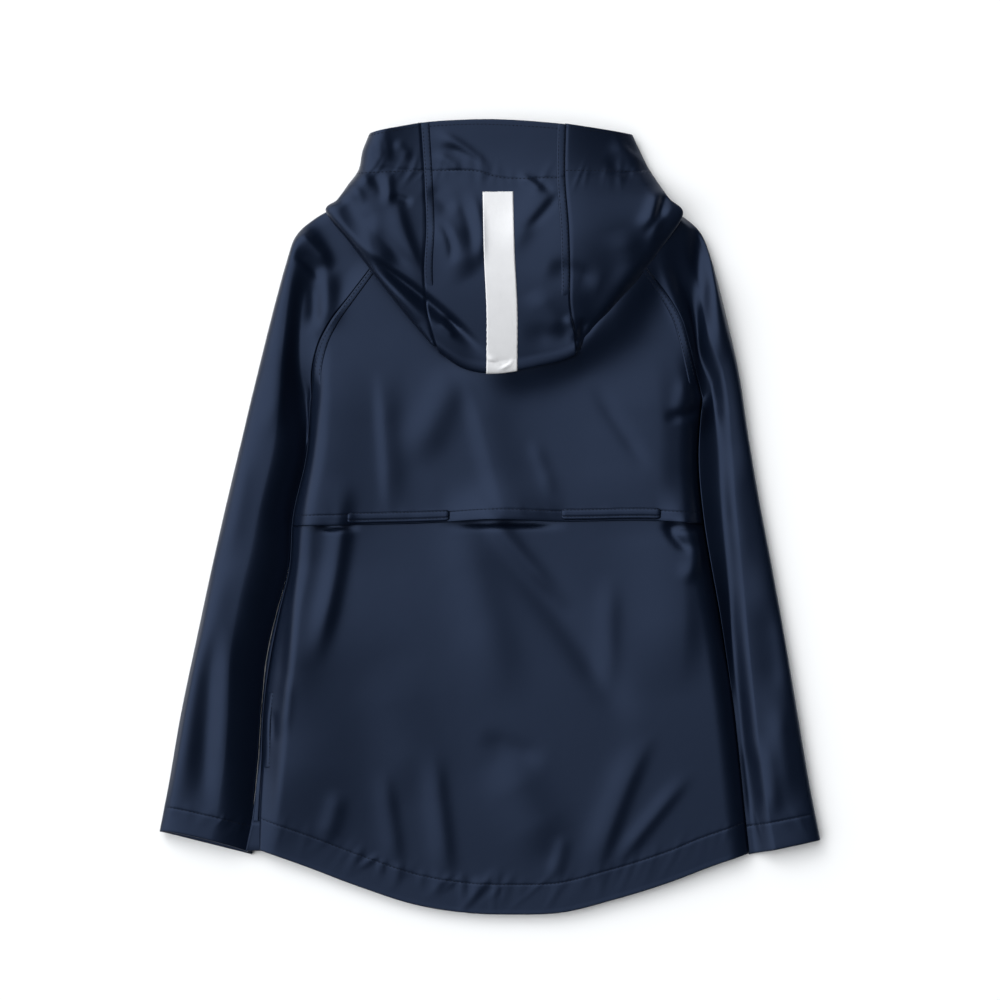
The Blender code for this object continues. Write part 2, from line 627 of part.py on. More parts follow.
def main():
    clear_scene()
    navy = material("coated_navy", (0.013, 0.021, 0.040), 0.42)
    tape = material("reflective_grey", (0.72, 0.72, 0.74), 0.35)
    enamel = material("stud_navy", (0.012, 0.019, 0.036), 0.3)

    lower_back(navy)
    cape = cape_grid()
    cloth("back_cape", cape, navy)
    for side in ("left", "right"):
        front(side, navy)
        sleeve(side, navy)
        hood_side(side, navy)
    placket(navy)
    studs(enamel)
    middle = hood_middle_grid()
    cloth("hood_middle", middle, navy)
    for side in ("left", "right"):
        raglan_welt(side, cape, navy)
        hood_welt(side, middle, navy)
        cape_bar(side, navy)
    side_welt(navy)
    reflective_tape(middle, tape)


main()
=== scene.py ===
"""A child's hooded raincoat in coated navy cloth, laid face down with its hood folded back.

The sections follow the coat as it is sewn together: fronts, placket, studs, back, cape, sleeves,
hood and tape. Lengths are in millimetres in the script and become metres when a mesh is made.
"""

import bpy
import numpy as np
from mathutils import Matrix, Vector


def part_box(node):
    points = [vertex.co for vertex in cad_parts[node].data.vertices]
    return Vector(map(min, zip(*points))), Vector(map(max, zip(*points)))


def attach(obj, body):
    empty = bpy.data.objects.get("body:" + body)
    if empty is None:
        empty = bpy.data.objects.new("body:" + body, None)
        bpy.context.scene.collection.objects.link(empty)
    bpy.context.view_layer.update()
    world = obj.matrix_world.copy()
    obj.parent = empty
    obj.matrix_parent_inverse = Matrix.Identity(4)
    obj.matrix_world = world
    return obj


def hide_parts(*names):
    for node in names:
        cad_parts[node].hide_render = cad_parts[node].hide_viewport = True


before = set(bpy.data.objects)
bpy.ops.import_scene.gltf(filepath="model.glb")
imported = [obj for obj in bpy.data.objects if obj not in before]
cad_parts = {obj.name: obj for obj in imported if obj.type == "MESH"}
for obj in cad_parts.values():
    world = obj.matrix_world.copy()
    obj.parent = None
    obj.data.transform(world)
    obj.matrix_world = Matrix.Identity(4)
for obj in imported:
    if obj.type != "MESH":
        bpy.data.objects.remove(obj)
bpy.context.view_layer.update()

# ---- Fronts ----------------------------------------------------------------------------------
# The two fronts lie on the surface, meet under the placket, and turn up round the sides to the
# side seams. Each is one panel of knitted polyester with a smooth polyurethane coating outside,
# its hem turned in and stitched once.

MM = 0.001
SIDES = {"left": -1, "right": 1}
CENTRE_X = 8.0
ARMPIT_Y = 96.0
ARMPIT_UNDER_Z = 4.0  # the inner layer where the raglan seams end
NECK_Y = 236.0
FRONT_HEM_Y = -265.0
FRONT_NECK_DROP = 28.0
PANEL_WALL = 0.7
SEAM_GAP = 0.3
SIDE_GAP = 0.7
SIDE_SET_OUT = 0.4
SIDE_TURN = 6.1  # a front begins to turn up this far inside the coat's edge
SIDE_BULGE = 0.5
LEAST_TURN = 0.4
HEM_DEPTH = 24.0
HEM_ROLL = 0.85
PLACKET_WIDTH = 42.0
PLACKET_BASE = 1.2
PLACKET_RISE = 1.6
PLACKET_LEVEL = PLACKET_WIDTH / 2 + 2  # the fronts lie level over the placket this far out
PLACKET_SLOPE = 15.0
CUFF_LIFT = 5.4  # the left front passes over the left cuff
LEFT_SEAM_Z = 6.5
LEFT_SEAM_LIFT = 2.7
RIGHT_SEAM_Z = 5.0
FRONT_SEAM_DROP = 2.5
BODY_SIDES = {
    "y": [-268, -240, -200, -150, -110, -75, -40, 0, 50, ARMPIT_Y],
    "left": [-197, -191, -186, -182.5, -178.5, -170.5, -161, -158, -147, -143],
    "left_seam": [-184, -183.6, -182, -180, -174.5, -167.5, -159.5, -156.8, -146, -142.6],
    "right": [207, 204, 200, 194.5, 189, 183.5, 177, 170.5, 166.5, 169.6],
}
RAGLAN = {
    "t": [0, 0.2, 0.4, 0.6, 0.75, 0.88, 1],
    "left_x": [-66, -89, -112, -129, -137.6, -142, -142.6],
    "left_y": [NECK_Y, 207, 177, 153.6, 136, 117, ARMPIT_Y],
    "right_x": [97, 119, 139.5, 153, 159.5, 164.5, 169.6],
    "right_y": [NECK_Y, 206, 180, 157.5, 136.8, 117, ARMPIT_Y],
}
# Soft creases on the hidden side: x and y of both ends, bow, height, and half-width on either side.
FRONT_FOLDS = [
    (-150, 60, -60, 20, 9, 1.6, 9, 5),
    (-140, -30, -85, -150, -8, 1.3, 6, 11),
    (-60, 150, -110, 95, 5, 1.4, 5, 8),
    (-45, -90, -58, -235, 6, 0.9, 8, 6),
    (60, 120, 130, 60, -7, 1.5, 6, 10),
    (150, 20, 95, -60, 8, 1.4, 10, 5),
    (170, -100, 120, -215, -9, 1.2, 7, 9),
    (70, -20, 64, -170, 4, 0.8, 7, 7),
]


def through(keys, values, at):
    """A cubic curve through a table's rows, read at the given keys."""
    keys = np.asarray(keys, float)
    values = np.asarray(values, float)
    if keys[0] > keys[-1]:
        keys, values = keys[::-1], values[::-1]
    slope = np.gradient(values, keys)
    at = np.clip(np.asarray(at, float), keys[0], keys[-1])
    i = np.clip(np.searchsorted(keys, at) - 1, 0, len(keys) - 2)
    span = keys[i + 1] - keys[i]
    t = (at - keys[i]) / span
    ahead = t * t * (3 - 2 * t)
    return (
        values[i] * (1 - ahead)
        + values[i + 1] * ahead
        + span * (t * (1 - t) ** 2 * slope[i] - t * t * (1 - t) * slope[i + 1])
    )


def side_x(table, side, y):
    """x of a line that runs down the coat on one side."""
    return through(table["y"], table[side], y)


def ease(low, high, at):
    """0 up to low, 1 from high, and a smooth slope between them."""
    t = np.clip((at - low) / (high - low), 0, 1)
    return t * t * (3 - 2 * t)


def grid_of(x, y, z):
    """Points in rows and columns from their coordinates."""
    return np.stack(np.broadcast_arrays(x, y, z), axis=-1).astype(float)


def folds(x, y, table):
    """Height of soft ridges (+) and troughs (-), each along a bowed line with two unlike sides."""
    total = 0.0 * (x + y)
    for x0, y0, x1, y1, bow, height, left, right in table:
        run_x, run_y = x1 - x0, y1 - y0
        length = np.hypot(run_x, run_y)
        along = ((x - x0) * run_x + (y - y0) * run_y) / length**2
        off = ((y - y0) * run_x - (x - x0) * run_y) / length - 4 * bow * along * (1 - along)
        off = off / np.hypot(1, 4 * bow * (1 - 2 * along) / length)
        fade = ease(0, 0.35, along) * ease(0, 0.35, 1 - along)
        total = total + height * fade * np.exp(-((off / np.where(off > 0, left, right)) ** 2))
    return total


def puckers(along, off, seed, spacing, height, slant, inside, outside):
    """Small gathers across a stitched line, uneven in place, lean and depth. off is + outwards."""
    draw = np.random.default_rng(seed)
    total = 0.0 * (along + off)
    at = float(np.min(along))
    while at < np.max(along):
        at += spacing * draw.uniform(0.45, 1.9)
        lean = slant + draw.normal(0, 0.3)
        wide = spacing * draw.uniform(0.2, 0.42)
        reach = np.where(off > 0, outside, inside) * draw.uniform(0.55, 1.25)
        tall = height * draw.uniform(0.15, 1.0)
        total = total + tall * np.exp(-((off / reach) ** 2) - ((along - at - lean * off) / wide) ** 2)
    return total


def normals_of(grid):
    """The unit normal at each point of a grid."""
    down, across = np.gradient(grid, axis=0), np.gradient(grid, axis=1)
    normal = np.cross(across, down)
    return normal / np.maximum(np.linalg.norm(normal, axis=-1, keepdims=True), 1e-9)


def outward(grid, row, face_up=True):
    """1 where the grid's normals point out of the cloth, -1 where they point into it."""
    return 1 if (normals_of(grid)[row, grid.shape[1] // 4, 2] > 0) == face_up else -1


def turned_hem(grid, depth, out, steps):
    """Rows added past the last one: the cloth rolls over its edge and runs back inside."""
    last = grid[-1]
    away = last - grid[-2]
    away = away / np.linalg.norm(away, axis=-1, keepdims=True)
    inward = -normals_of(grid)[-1] * out
    turn = [
        last + away * HEM_ROLL * np.sin(a) + inward * HEM_ROLL * (1 - np.cos(a))
        for a in np.radians([36, 72, 108, 144, 180])
    ]
    back = [turn[-1] - away * depth * (k + 1) / steps for k in range(steps)]
    return np.concatenate([grid, np.stack(turn + back)])


def add_object(name, data):
    """A new object in the scene."""
    made = bpy.data.objects.new(name, data)
    bpy.context.scene.collection.objects.link(made)
    return made


def smooth_mesh(name, points, faces, finish):
    """An object with one smooth mesh, from points in millimetres."""
    mesh = bpy.data.meshes.new(name)
    mesh.from_pydata((np.asarray(points, float) * MM).tolist(), [], faces)
    mesh.materials.append(finish)
    mesh.shade_smooth()
    return add_object(name, mesh)


def cloth(name, grid, finish, wall, out=None, hem=0.0, steps=5):
    """A wall of cloth inside a grid of points on its outer face, its last row turned in for a hem."""
    out = outward(grid, grid.shape[0] // 3) if out is None else out
    if hem:
        grid = turned_hem(grid, hem, out, steps)
    rows, columns = grid.shape[:2]
    index = np.arange(rows * columns).reshape(rows, columns)
    faces = np.stack([index[:-1, :-1], index[:-1, 1:], index[1:, 1:], index[1:, :-1]], axis=-1)
    if out < 0:
        faces = faces[..., ::-1]
    piece = smooth_mesh(name, grid.reshape(-1, 3), faces.reshape(-1, 4).tolist(), finish)
    solid = piece.modifiers.new("wall", "SOLIDIFY")
    solid.thickness = wall * MM
    solid.offset = -1
    return piece


def place(piece, replaced):
    """The piece rides on the coat's one body and takes the place of a plain one."""
    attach(piece, "root")
    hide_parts(replaced)


class Shade:
    """A shader socket that adds, subtracts and multiplies through Math nodes."""

    def __init__(self, tree, socket):
        self.tree, self.socket = tree, socket

    def node(self, kind, settings, sockets, output=0):
        """Any other node, with its settings and the values or links of its sockets."""
        made = self.tree.nodes.new(kind)
        for name, value in settings.items():
            setattr(made, name, value)
        for key, value in sockets.items():
            if isinstance(value, Shade):
                self.tree.links.new(value.socket, made.inputs[key])
            else:
                made.inputs[key].default_value = value
        return Shade(self.tree, made.outputs[output])

    def math(self, operation, a, b):
        return self.node("ShaderNodeMath", {"operation": operation}, {0: a, 1: b})

    def __add__(self, other):
        return self.math("ADD", self, other)

    def __mul__(self, other):
        return self.math("MULTIPLY", self, other)

    def __sub__(self, other):
        return self.math("SUBTRACT", self, other)

    def __rsub__(self, other):
        return self.math("SUBTRACT", other, self)

    __radd__, __rmul__ = __add__, __mul__

    def noise(self, scale, detail):
        """Noise read at this socket's coordinates, from 0 to 1."""
        return self.node("ShaderNodeTexNoise", {}, {"Vector": self, "Scale": scale, "Detail": detail})

    def blend(self, low, high):
        """A colour from low to high as this socket goes from 0 to 1."""
        sockets = {0: self, 6: (*low, 1), 7: (*high, 1)}
        return self.node("ShaderNodeMix", {"data_type": "RGBA"}, sockets, output=2)

    def bump(self):
        """A normal from this socket's height in millimetres."""
        return self.node("ShaderNodeBump", {}, {"Strength": 1.0, "Distance": MM, "Height": self})


def new_finish(name):
    """A material, its Principled shader, and its object coordinates."""
    material = bpy.data.materials.new(name)
    material.use_nodes = True
    tree = material.node_tree
    coordinates = tree.nodes.new("ShaderNodeTexCoord").outputs["Object"]
    return material, tree.nodes["Principled BSDF"], Shade(tree, coordinates)


def feed(shader, name, value):
    """Links a Shade to one of a shader's inputs."""
    value.tree.links.new(value.socket, shader.inputs[name])


def coated_cloth(name, dark, light, roughness):
    """Smooth coated cloth: a fine leathery grain, faint handling marks and a broad soft sheen."""
    material, shader, where = new_finish(name)
    grain = where.noise(1500.0, 1.0)
    pebble = where.noise(420.0, 3.0)
    marks = where.noise(38.0, 4.0)
    drift = where.noise(9.0, 3.0)
    feed(shader, "Base Color", (drift * 0.7 + marks * 0.3).blend(dark, light))
    feed(shader, "Roughness", marks * 0.10 + grain * 0.05 + (roughness - 0.075))
    feed(shader, "Normal", (grain * 0.010 + pebble * 0.016 + marks * 0.10 + drift * 0.5).bump())
    shader.inputs["Specular IOR Level"].default_value = 0.40
    shader.inputs["Specular Tint"].default_value = (0.42, 0.58, 1.0, 1)
    return material


DARK_NAVY = (0.0020, 0.0040, 0.0100)
LIGHT_NAVY = (0.0028, 0.0054, 0.0132)
coated_navy = coated_cloth("coated navy", DARK_NAVY, LIGHT_NAVY, roughness=0.38)


def over_cuff(y):
    """1 near the hem, where the left side lies over the cuff."""
    return ease(-180, -225, y)


def seam_height(side, y):
    """Outer face of the back where it meets the front."""
    return LEFT_SEAM_Z + LEFT_SEAM_LIFT * over_cuff(y) if side == "left" else RIGHT_SEAM_Z


def raglan(side, t):
    """A point of a raglan seam, from the neck at 0 to the armpit at 1."""
    return np.array([through(RAGLAN["t"], RAGLAN[f"{side}_{axis}"], t) for axis in ("x", "y")])


def front_row(side, edge, edge_y, centre_y, seam_x, seam_z, turned):
    """One row of a front, from the centre to the side seam."""
    sign = SIDES[side]
    inner = edge - sign * SIDE_TURN
    start = CENTRE_X + sign * SEAM_GAP
    slope = CENTRE_X + sign * (PLACKET_LEVEL + PLACKET_SLOPE * np.linspace(0, 1, 8))
    level = np.linspace(start, slope[0], 9)[:-1]
    x = np.concatenate([level, slope, np.linspace(slope[-1], inner, 48)[1:]])
    y = centre_y + (edge_y - centre_y) * (x - start) / (inner - start)
    lifted = 1 - ease(PLACKET_LEVEL, PLACKET_LEVEL + PLACKET_SLOPE, np.abs(x - CENTRE_X))
    z = (PLACKET_BASE + PLACKET_RISE) * lifted
    if side == "left":
        z = z + CUFF_LIFT * ease(-160, -178, x) * over_cuff(y)
    base = z[-1]
    z = z + folds(x, y, FRONT_FOLDS) * ease(0, 12, np.abs(inner - x)) * (1 - lifted)
    over = turned == 1 and base > 0.5
    end_z = max(seam_z, base + LEAST_TURN) if over else seam_z
    third, two_thirds = inner + (edge - inner) / 3, inner + (edge - inner) * 2 / 3
    x_points = (
        inner,
        third + (edge + sign * SIDE_BULGE - third) * turned,
        two_thirds + (edge - two_thirds) * turned,
        seam_x,
    )
    z_points = base, base, base + 0.5 * (end_z - base), end_z
    s = np.linspace(0, 1, 15)[1:]
    weights = (1 - s) ** 3, 3 * s * (1 - s) ** 2, 3 * s**2 * (1 - s), s**3
    x = np.append(x, sum(w * p for w, p in zip(weights, x_points)))
    z = np.append(z, sum(w * p for w, p in zip(weights, z_points)))
    return grid_of(x, np.append(y, np.full(len(s), edge_y)), z)


def front_grid(side):
    """Rows from the neck down the raglan seam, then down the side to the hem."""
    sign = SIDES[side]
    seam = "left_seam" if side == "left" else "right"
    rows = []
    for t in np.linspace(0, 1, 40):
        edge, edge_y = raglan(side, t) - [sign * SEAM_GAP, 0]
        turned = float(ease(0.7, 1.0, t))
        neck = edge_y - FRONT_NECK_DROP * (1 - ease(0, 0.5, t))
        rows.append(front_row(side, edge, edge_y, neck, edge, ARMPIT_UNDER_Z * turned, turned))
    for y in np.linspace(ARMPIT_Y, FRONT_HEM_Y, 110)[1:]:
        edge = side_x(BODY_SIDES, side, y) + sign * SIDE_SET_OUT
        seam_x = side_x(BODY_SIDES, seam, y) + sign * SIDE_GAP
        seam_z = seam_height(side, y) - FRONT_SEAM_DROP
        rows.append(front_row(side, edge, y, y, seam_x, seam_z, 1.0))
    return np.stack(rows)


for side, flat in (("left", (0.215, 0.515)), ("right", (0.210, 0.515))):
    grid = front_grid(side)
    out = outward(grid, 90, face_up=False)
    panel = cloth(f"front_panel_{side}", grid, coated_navy, PANEL_WALL, out, HEM_DEPTH)
    place(panel, f"front_{side}")

# ---- Placket ---------------------------------------------------------------------------------
# A straight strip of the same coated cloth, doubled, covers the centre-front closing. It is
# stitched down both long sides and lies lowest, just over the caps of the studs.

PLACKET_TOP_Y = 203.0
PLACKET_WALL = 1.0
PLACKET_EDGE_LIFT = 0.35
PLACKET_RIPPLE = 0.18

fly_y = np.linspace(FRONT_HEM_Y + 1, PLACKET_TOP_Y, 190)[:, None]
fly_share = np.concatenate([
    np.linspace(-0.5, -0.44, 4),
    np.linspace(-0.42, 0.42, 15),
    np.linspace(0.44, 0.5, 4),
])
edge_lift = PLACKET_EDGE_LIFT * ease(0.47, 0.5, np.abs(fly_share))
ripple = PLACKET_RIPPLE * np.sin(fly_y / 21.0) * np.cos(fly_y / 8.3) * (1 - (2 * fly_share) ** 2)
fly = grid_of(CENTRE_X + PLACKET_WIDTH * fly_share, fly_y, PLACKET_BASE + edge_lift + np.abs(ripple))
fly_out = outward(fly, 60, face_up=False)
placket = cloth("front_placket_strip", fly, coated_navy, PLACKET_WALL, fly_out)
place(placket, "front_placket")

# ---- Press studs -----------------------------------------------------------------------------
# Enamelled caps close the placket. Each is a pressed disc with a rolled rim and a shallow dish,
# turned here from one profile.

STUD_COUNT = 5
# Radius and height, from the middle of the dish over the rim to the middle of the hidden face.
STUD_PROFILE = [
    (0, 0.32), (2.2, 0.26), (4.2, 0.10), (5.2, 0.0), (5.9, 0.02),
    (6.4, 0.3), (6.5, 0.7), (6.2, 0.95), (0, 0.95),
]


def turned_cap(name, middle, finish):
    """The profile turned round a vertical axis."""
    angles = np.linspace(0, 2 * np.pi, 40, endpoint=False)
    rings = [(r * np.cos(angles), r * np.sin(angles), z + 0 * angles) for r, z in STUD_PROFILE[1:-1]]
    points = [(middle[0], middle[1], STUD_PROFILE[0][1]), (middle[0], middle[1], STUD_PROFILE[-1][1])]
    for x, y, z in rings:
        points += list(zip(middle[0] + x, middle[1] + y, z))
    faces = []
    count = len(angles)
    for k in range(count):
        n = (k + 1) % count
        faces.append((0, 2 + n, 2 + k))
        for ring in range(len(rings) - 1):
            a, b = 2 + ring * count, 2 + (ring + 1) * count
            faces.append((a + k, a + n, b + n, b + k))
        top = 2 + (len(rings) - 1) * count
        faces.append((1, top + k, top + n))
    return smooth_mesh(name, points, faces, finish)


stud_navy, shader, where = new_finish("stud enamel")
scuffs = where.noise(900.0, 4.0)
feed(shader, "Base Color", scuffs.blend((0.010, 0.017, 0.034), (0.016, 0.025, 0.046)))
feed(shader, "Roughness", scuffs * 0.12 + 0.22)

for n in range(1, STUD_COUNT + 1):
    low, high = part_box(f"press_stud_{n}")
    middle = [(low[0] + high[0]) / 2 / MM, (low[1] + high[1]) / 2 / MM]
    place(turned_cap(f"stud_cap_{n}", middle, stud_navy), f"press_stud_{n}")

# ---- Lower back ------------------------------------------------------------------------------
# One wide panel runs from under the cape to the dropped, curved hem. The hem is turned up inside
# and held by one row of stitches, which gather it slightly.

BACK_TOP_Y = 62.0
LEAST_BACK_Z = 2.6
UNDER_CAPE_DROP = 5.5  # it lies deeper where the cape covers it
HEM_EDGE_LIFT = 0.35
EDGE_HOLD = 7.0  # creases fade out this near the side seams
CAPE_RISE = 1.9
SIDE_SLOPE = {"left": 17.0, "right": 17.0}
BACK_HEM = {
    "x": [-184, -150, -105, -60, -20, 20, 57, 98, 146, 180, 207],
    "y": [-265, -277, -294, -308.5, -315, -316.5, -315, -305, -290, -277, -268],
}
BODY_HEIGHT = {
    "y": [-318, -290, -240, -150, -50, 60, 130, 190, 240],
    "z": [8.6, 9.5, 12, 15, 15.5, 15.5, 14.5, 13, 12],
}
# Creases of the laid back, cape and sleeves, which cross from piece to piece.
BACK_FOLDS = [
    # cape, from the left to the right
    (-124, 150, -151, -40, 0, 4.6, 42, 7),
    (-87, 124, -79, -4, 0, 1.9, 12, 5),
    (-18, 130, -66, 38, 0, 2.6, 15, 15),
    (-20, 126, 16, -14, 0, 2.6, 22, 8),
    (32, 66, 52, 14, 0, 0.8, 6, 5),
    (80, 108, 128, 36, 0, -1.2, 6, 6),
    (126, 140, 126, -18, 8, 3.8, 20, 56),
    (170, 86, 138, 79, 1, -2.4, 3.5, 5),
    (160, 116, 150, 70, -3, 1.3, 6, 6),
    # where the hood presses on the cape
    (-38, 130, 96, 168, -22, 9.0, 12, 20),
    (62, 112, 160, 270, 0, 10.0, 12, 22),
    # shoulders and raglan seams
    (-158, 232, -126, 196, 3, 3.2, 6, 4),
    (-160, 214, -133, 186, 3, -2.6, 6, 4),
    (-130, 204, -132, 146, 2, 3.0, 9, 6),
    (-143, 196, -142, 146, 2, -2.6, 6, 6),
    (134, 216, 170, 130, -4, 3.2, 7, 6),
    (167, 252, 173, 112, -2, -4.6, 8, 7),
    (182, 210, 186, 120, -2, 2.0, 9, 8),
    (-170, 150, -176, 60, 3, 1.8, 7, 9),
    # lower back, under the cape
    (-146, 44, -163, -176, 0, 3.2, 20, 5),
    (-146, -30, -172, -280, 0, 6.8, 62, 8),
    (-114, 36, -142, -122, 5, 3.4, 7, 9),
    (-163, -120, -168, -176, 2, 1.3, 5, 6),
    (-174, -150, -173, -182, 1, -1.3, 3.5, 3.5),
    (140, -2, 162, -28, -3, -2.8, 4, 4),
    (150, 4, 172, -20, -3, 1.4, 5, 6),
    (168, -18, 154, -54, 2, 1.8, 5, 7),
    (-30, 24, 16, -154, 0, 2.2, 18, 20),
    (-16, 24, 66, -74, -3, 2.4, 7, 8),
    (4, -14, 116, -172, 6, -3.0, 15, 13),
    (138, 40, 148, -146, 10, 3.0, 14, 36),
    (96, -40, 94, -150, 0, 1.2, 8, 10),
    (-10, -174, 46, -194, 0, -1.1, 9, 9),
    (6, -188, 52, -272, 0, 2.2, 20, 20),
    (-90, -110, -60, -230, 8, 1.4, 30, 24),
    # near the hem
    (-46, -180, -32, -300, 0, 1.8, 7, 10),
    (-86, -196, -72, -288, 0, 1.3, 6, 9),
    (130, -166, 80, -296, -3, 2.0, 7, 13),
    (162, -200, 94, -284, 0, 1.3, 5, 7),
    (-120, -214, -134, -262, 2, 1.2, 7, 7),
    (60, -250, 48, -292, 1, 1.0, 6, 5),
    # sleeves
    (-196, 70, -214, -40, 3, 1.6, 9, 13),
    (-214, -30, -226, -120, -3, 1.5, 12, 8),
    (-222, -50, -262, -262, 0, 3.8, 16, 4),
    (-221, -76, -228, -246, 0, -3.4, 8, 12),
    (-206, -66, -218, -228, 0, 1.8, 8, 8),
    (194, 60, 206, -50, -3, 1.4, 10, 8),
    (216, -60, 226, -150, 3, -1.6, 9, 12),
    (232, -140, 240, -230, -3, 1.7, 8, 9),
    (206, -176, 214, -244, 2, -1.8, 6, 8),
    (218, -170, 226, -246, 2, 1.6, 6, 8),
]
# Dips of the lower back just under the open stretches of the cape's hem.
VENT_DIPS = [
    (-140, -7.5, -102, -6.5, 0, -3.4, 3, 2.5),
    (-42, -5.5, 64, -5, 1.5, -4.4, 4.5, 3),
    (134, -7, 174, -8, 0, -2.6, 4, 3),
]


def line_y(table, x):
    """y of a line that runs across the coat, such as a hem."""
    return through(table["x"], table["y"], x)


def body_sides(y):
    """x of both side seams, or of the raglan seams above the armpit."""
    below = [side_x(BODY_SIDES, c, y) for c in ("left_seam", "right")]
    above = [through(RAGLAN[f"{s}_y"], RAGLAN[f"{s}_x"], y) for s in SIDES]
    return [np.where(y > ARMPIT_Y, a, b) for a, b in zip(above, below)]


def laid_height(x, y):
    """Outer face of the laid body, creases left out."""
    left, right = body_sides(y)
    height = through(BODY_HEIGHT["y"], BODY_HEIGHT["z"], y)
    drop = 1 - ease(ARMPIT_Y, ARMPIT_Y + 45, y)
    z = height
    for distance, side in ((x - left, "left"), (right - x, "right")):
        low = 1 - np.clip(distance / SIDE_SLOPE[side], 0, 1)
        z = z - drop * (height - seam_height(side, y)) * low**2.2
    return z


def creased(x, y):
    """Height of the creases that cross the back, cape and sleeves."""
    return folds(x, y, BACK_FOLDS)


def edge_hold(x, y):
    """0 on the body's side seams, 1 away from them, above and below the armpit."""
    left, right = body_sides(y)
    return ease(0, EDGE_HOLD, x - left) * ease(0, EDGE_HOLD, right - x)


def spread(edge, at_edge, between):
    """Shares from 0 to 1 across a panel, closer together along its two edges."""
    return np.concatenate([
        np.linspace(0, edge, at_edge)[:-1],
        np.linspace(edge, 1 - edge, between),
        np.linspace(1 - edge, 1, at_edge)[1:],
    ])


def bite(off, depth, width):
    """The groove that a row of stitches pulls into the cloth."""
    return -depth * np.exp(-((off / width) ** 2))


across = spread(0.06, 12, 132)
foot_x = BACK_HEM["x"][0] + (BACK_HEM["x"][-1] - BACK_HEM["x"][0]) * across
hem_y = line_y(BACK_HEM, foot_x)
hem_slope = np.hypot(1, np.gradient(hem_y, foot_x))  # the turned depth is measured square to the hem
hem_along = np.concatenate([[0], np.cumsum(np.hypot(np.diff(foot_x), np.diff(hem_y)))])
above_hem = np.concatenate([
    [9, 6.5, 4.2, 2.6, 1.5, 0.8, 0.3, 0, -0.3, -0.8, -1.5, -2.6],
    np.linspace(-4.2, 0.9 - HEM_DEPTH, 11),
])
stitch_y = hem_y + HEM_DEPTH * hem_slope
body_y = BACK_TOP_Y + (stitch_y + above_hem[0] - BACK_TOP_Y) * np.linspace(0, 1, 128)[:-1, None]
back_y = np.concatenate([body_y, stitch_y + above_hem[:, None] * hem_slope])
left, right = body_sides(back_y)
back_x = left + (right - left) * across
off_stitch = (stitch_y - back_y) / hem_slope
back_hold = edge_hold(back_x, back_y)
lift = creased(back_x, back_y) * back_hold
hem_gathers = puckers(
    hem_along, off_stitch, seed=11, spacing=8.0, height=0.75, slant=-0.55, inside=7.0, outside=14.0
)
gathered = 0.5 + ease(-125, -95, back_x) * ease(30, 0, back_x)  # most on the left of the middle
lift = lift + hem_gathers * gathered * back_hold
lift = lift + bite(off_stitch, depth=0.22, width=0.8)
lift = lift + HEM_EDGE_LIFT * ease(HEM_DEPTH - 3, HEM_DEPTH, off_stitch)
lift = lift + folds(back_x, back_y, VENT_DIPS)
lift = lift - UNDER_CAPE_DROP * ease(-1, 22, back_y)
back_z = np.maximum(laid_height(back_x, back_y) + lift, LEAST_BACK_Z)
lower_back_grid = grid_of(back_x, back_y, back_z)
lower_back = cloth("lower_back_panel", lower_back_grid, coated_navy, PANEL_WALL, hem=HEM_DEPTH)
place(lower_back, "lower_back")

# Thread: short rounded stitches along a line on the cloth, each one lying along the line and a
# little sunk. The line is a mesh of edges that carries the cloth's normal.
STITCH = {"Pitch": 3.1, "Length": 2.1, "Width": 0.75, "Height": 0.5}


def thread_tree():
    """A node tree that lays stitches along the lines it is given."""
    tree = bpy.data.node_groups.new("row of stitches", "GeometryNodeTree")
    face = tree.interface
    face.new_socket(name="Lines", in_out="INPUT", socket_type="NodeSocketGeometry")
    for name, value in STITCH.items():
        socket = face.new_socket(name=name, in_out="INPUT", socket_type="NodeSocketFloat")
        socket.default_value = value * MM
    face.new_socket(name="Thread", in_out="INPUT", socket_type="NodeSocketMaterial")
    face.new_socket(name="Stitches", in_out="OUTPUT", socket_type="NodeSocketGeometry")

    def add(kind, settings=(), **links):
        """A node, with its settings and the values or links of its named sockets."""
        made = tree.nodes.new(kind)
        for name, value in dict(settings).items():
            setattr(made, name, value)
        for name, value in links.items():
            key = name.replace("_", " ")
            if isinstance(value, bpy.types.NodeSocket):
                tree.links.new(value, made.inputs[key])
            else:
                made.inputs[key].default_value = value
        return made

    given = add("NodeGroupInput")
    curve = add("GeometryNodeMeshToCurve", Mesh=given.outputs["Lines"])
    spaced = add(
        "GeometryNodeResampleCurve", {"mode": "LENGTH"},
        Curve=curve.outputs[0], Length=given.outputs["Pitch"],
    )
    up = add("GeometryNodeInputNamedAttribute", {"data_type": "FLOAT_VECTOR"}, Name="up")
    tangent = add("GeometryNodeInputTangent")
    upright = add("FunctionNodeAlignRotationToVector", {"axis": "Z"}, Vector=up.outputs[0])
    turned = add(
        "FunctionNodeAlignRotationToVector", {"axis": "X", "pivot_axis": "Z"},
        Rotation=upright.outputs[0], Vector=tangent.outputs[0],
    )
    ball = add("GeometryNodeMeshUVSphere", Segments=6, Rings=5, Radius=0.5)
    size = add(
        "ShaderNodeCombineXYZ",
        X=given.outputs["Length"], Y=given.outputs["Width"], Z=given.outputs["Height"],
    )
    shaped = add("GeometryNodeTransform", Geometry=ball.outputs[0], Scale=size.outputs[0])
    smooth = add("GeometryNodeSetShadeSmooth", Geometry=shaped.outputs[0])
    rows = add(
        "GeometryNodeInstanceOnPoints",
        Points=spaced.outputs[0], Instance=smooth.outputs[0], Rotation=turned.outputs[0],
    )
    real = add("GeometryNodeRealizeInstances", Geometry=rows.outputs[0])
    dyed = add("GeometryNodeSetMaterial", Geometry=real.outputs[0], Material=given.outputs["Thread"])
    out = add("NodeGroupOutput")
    tree.links.new(dyed.outputs[0], out.inputs[0])
    return tree


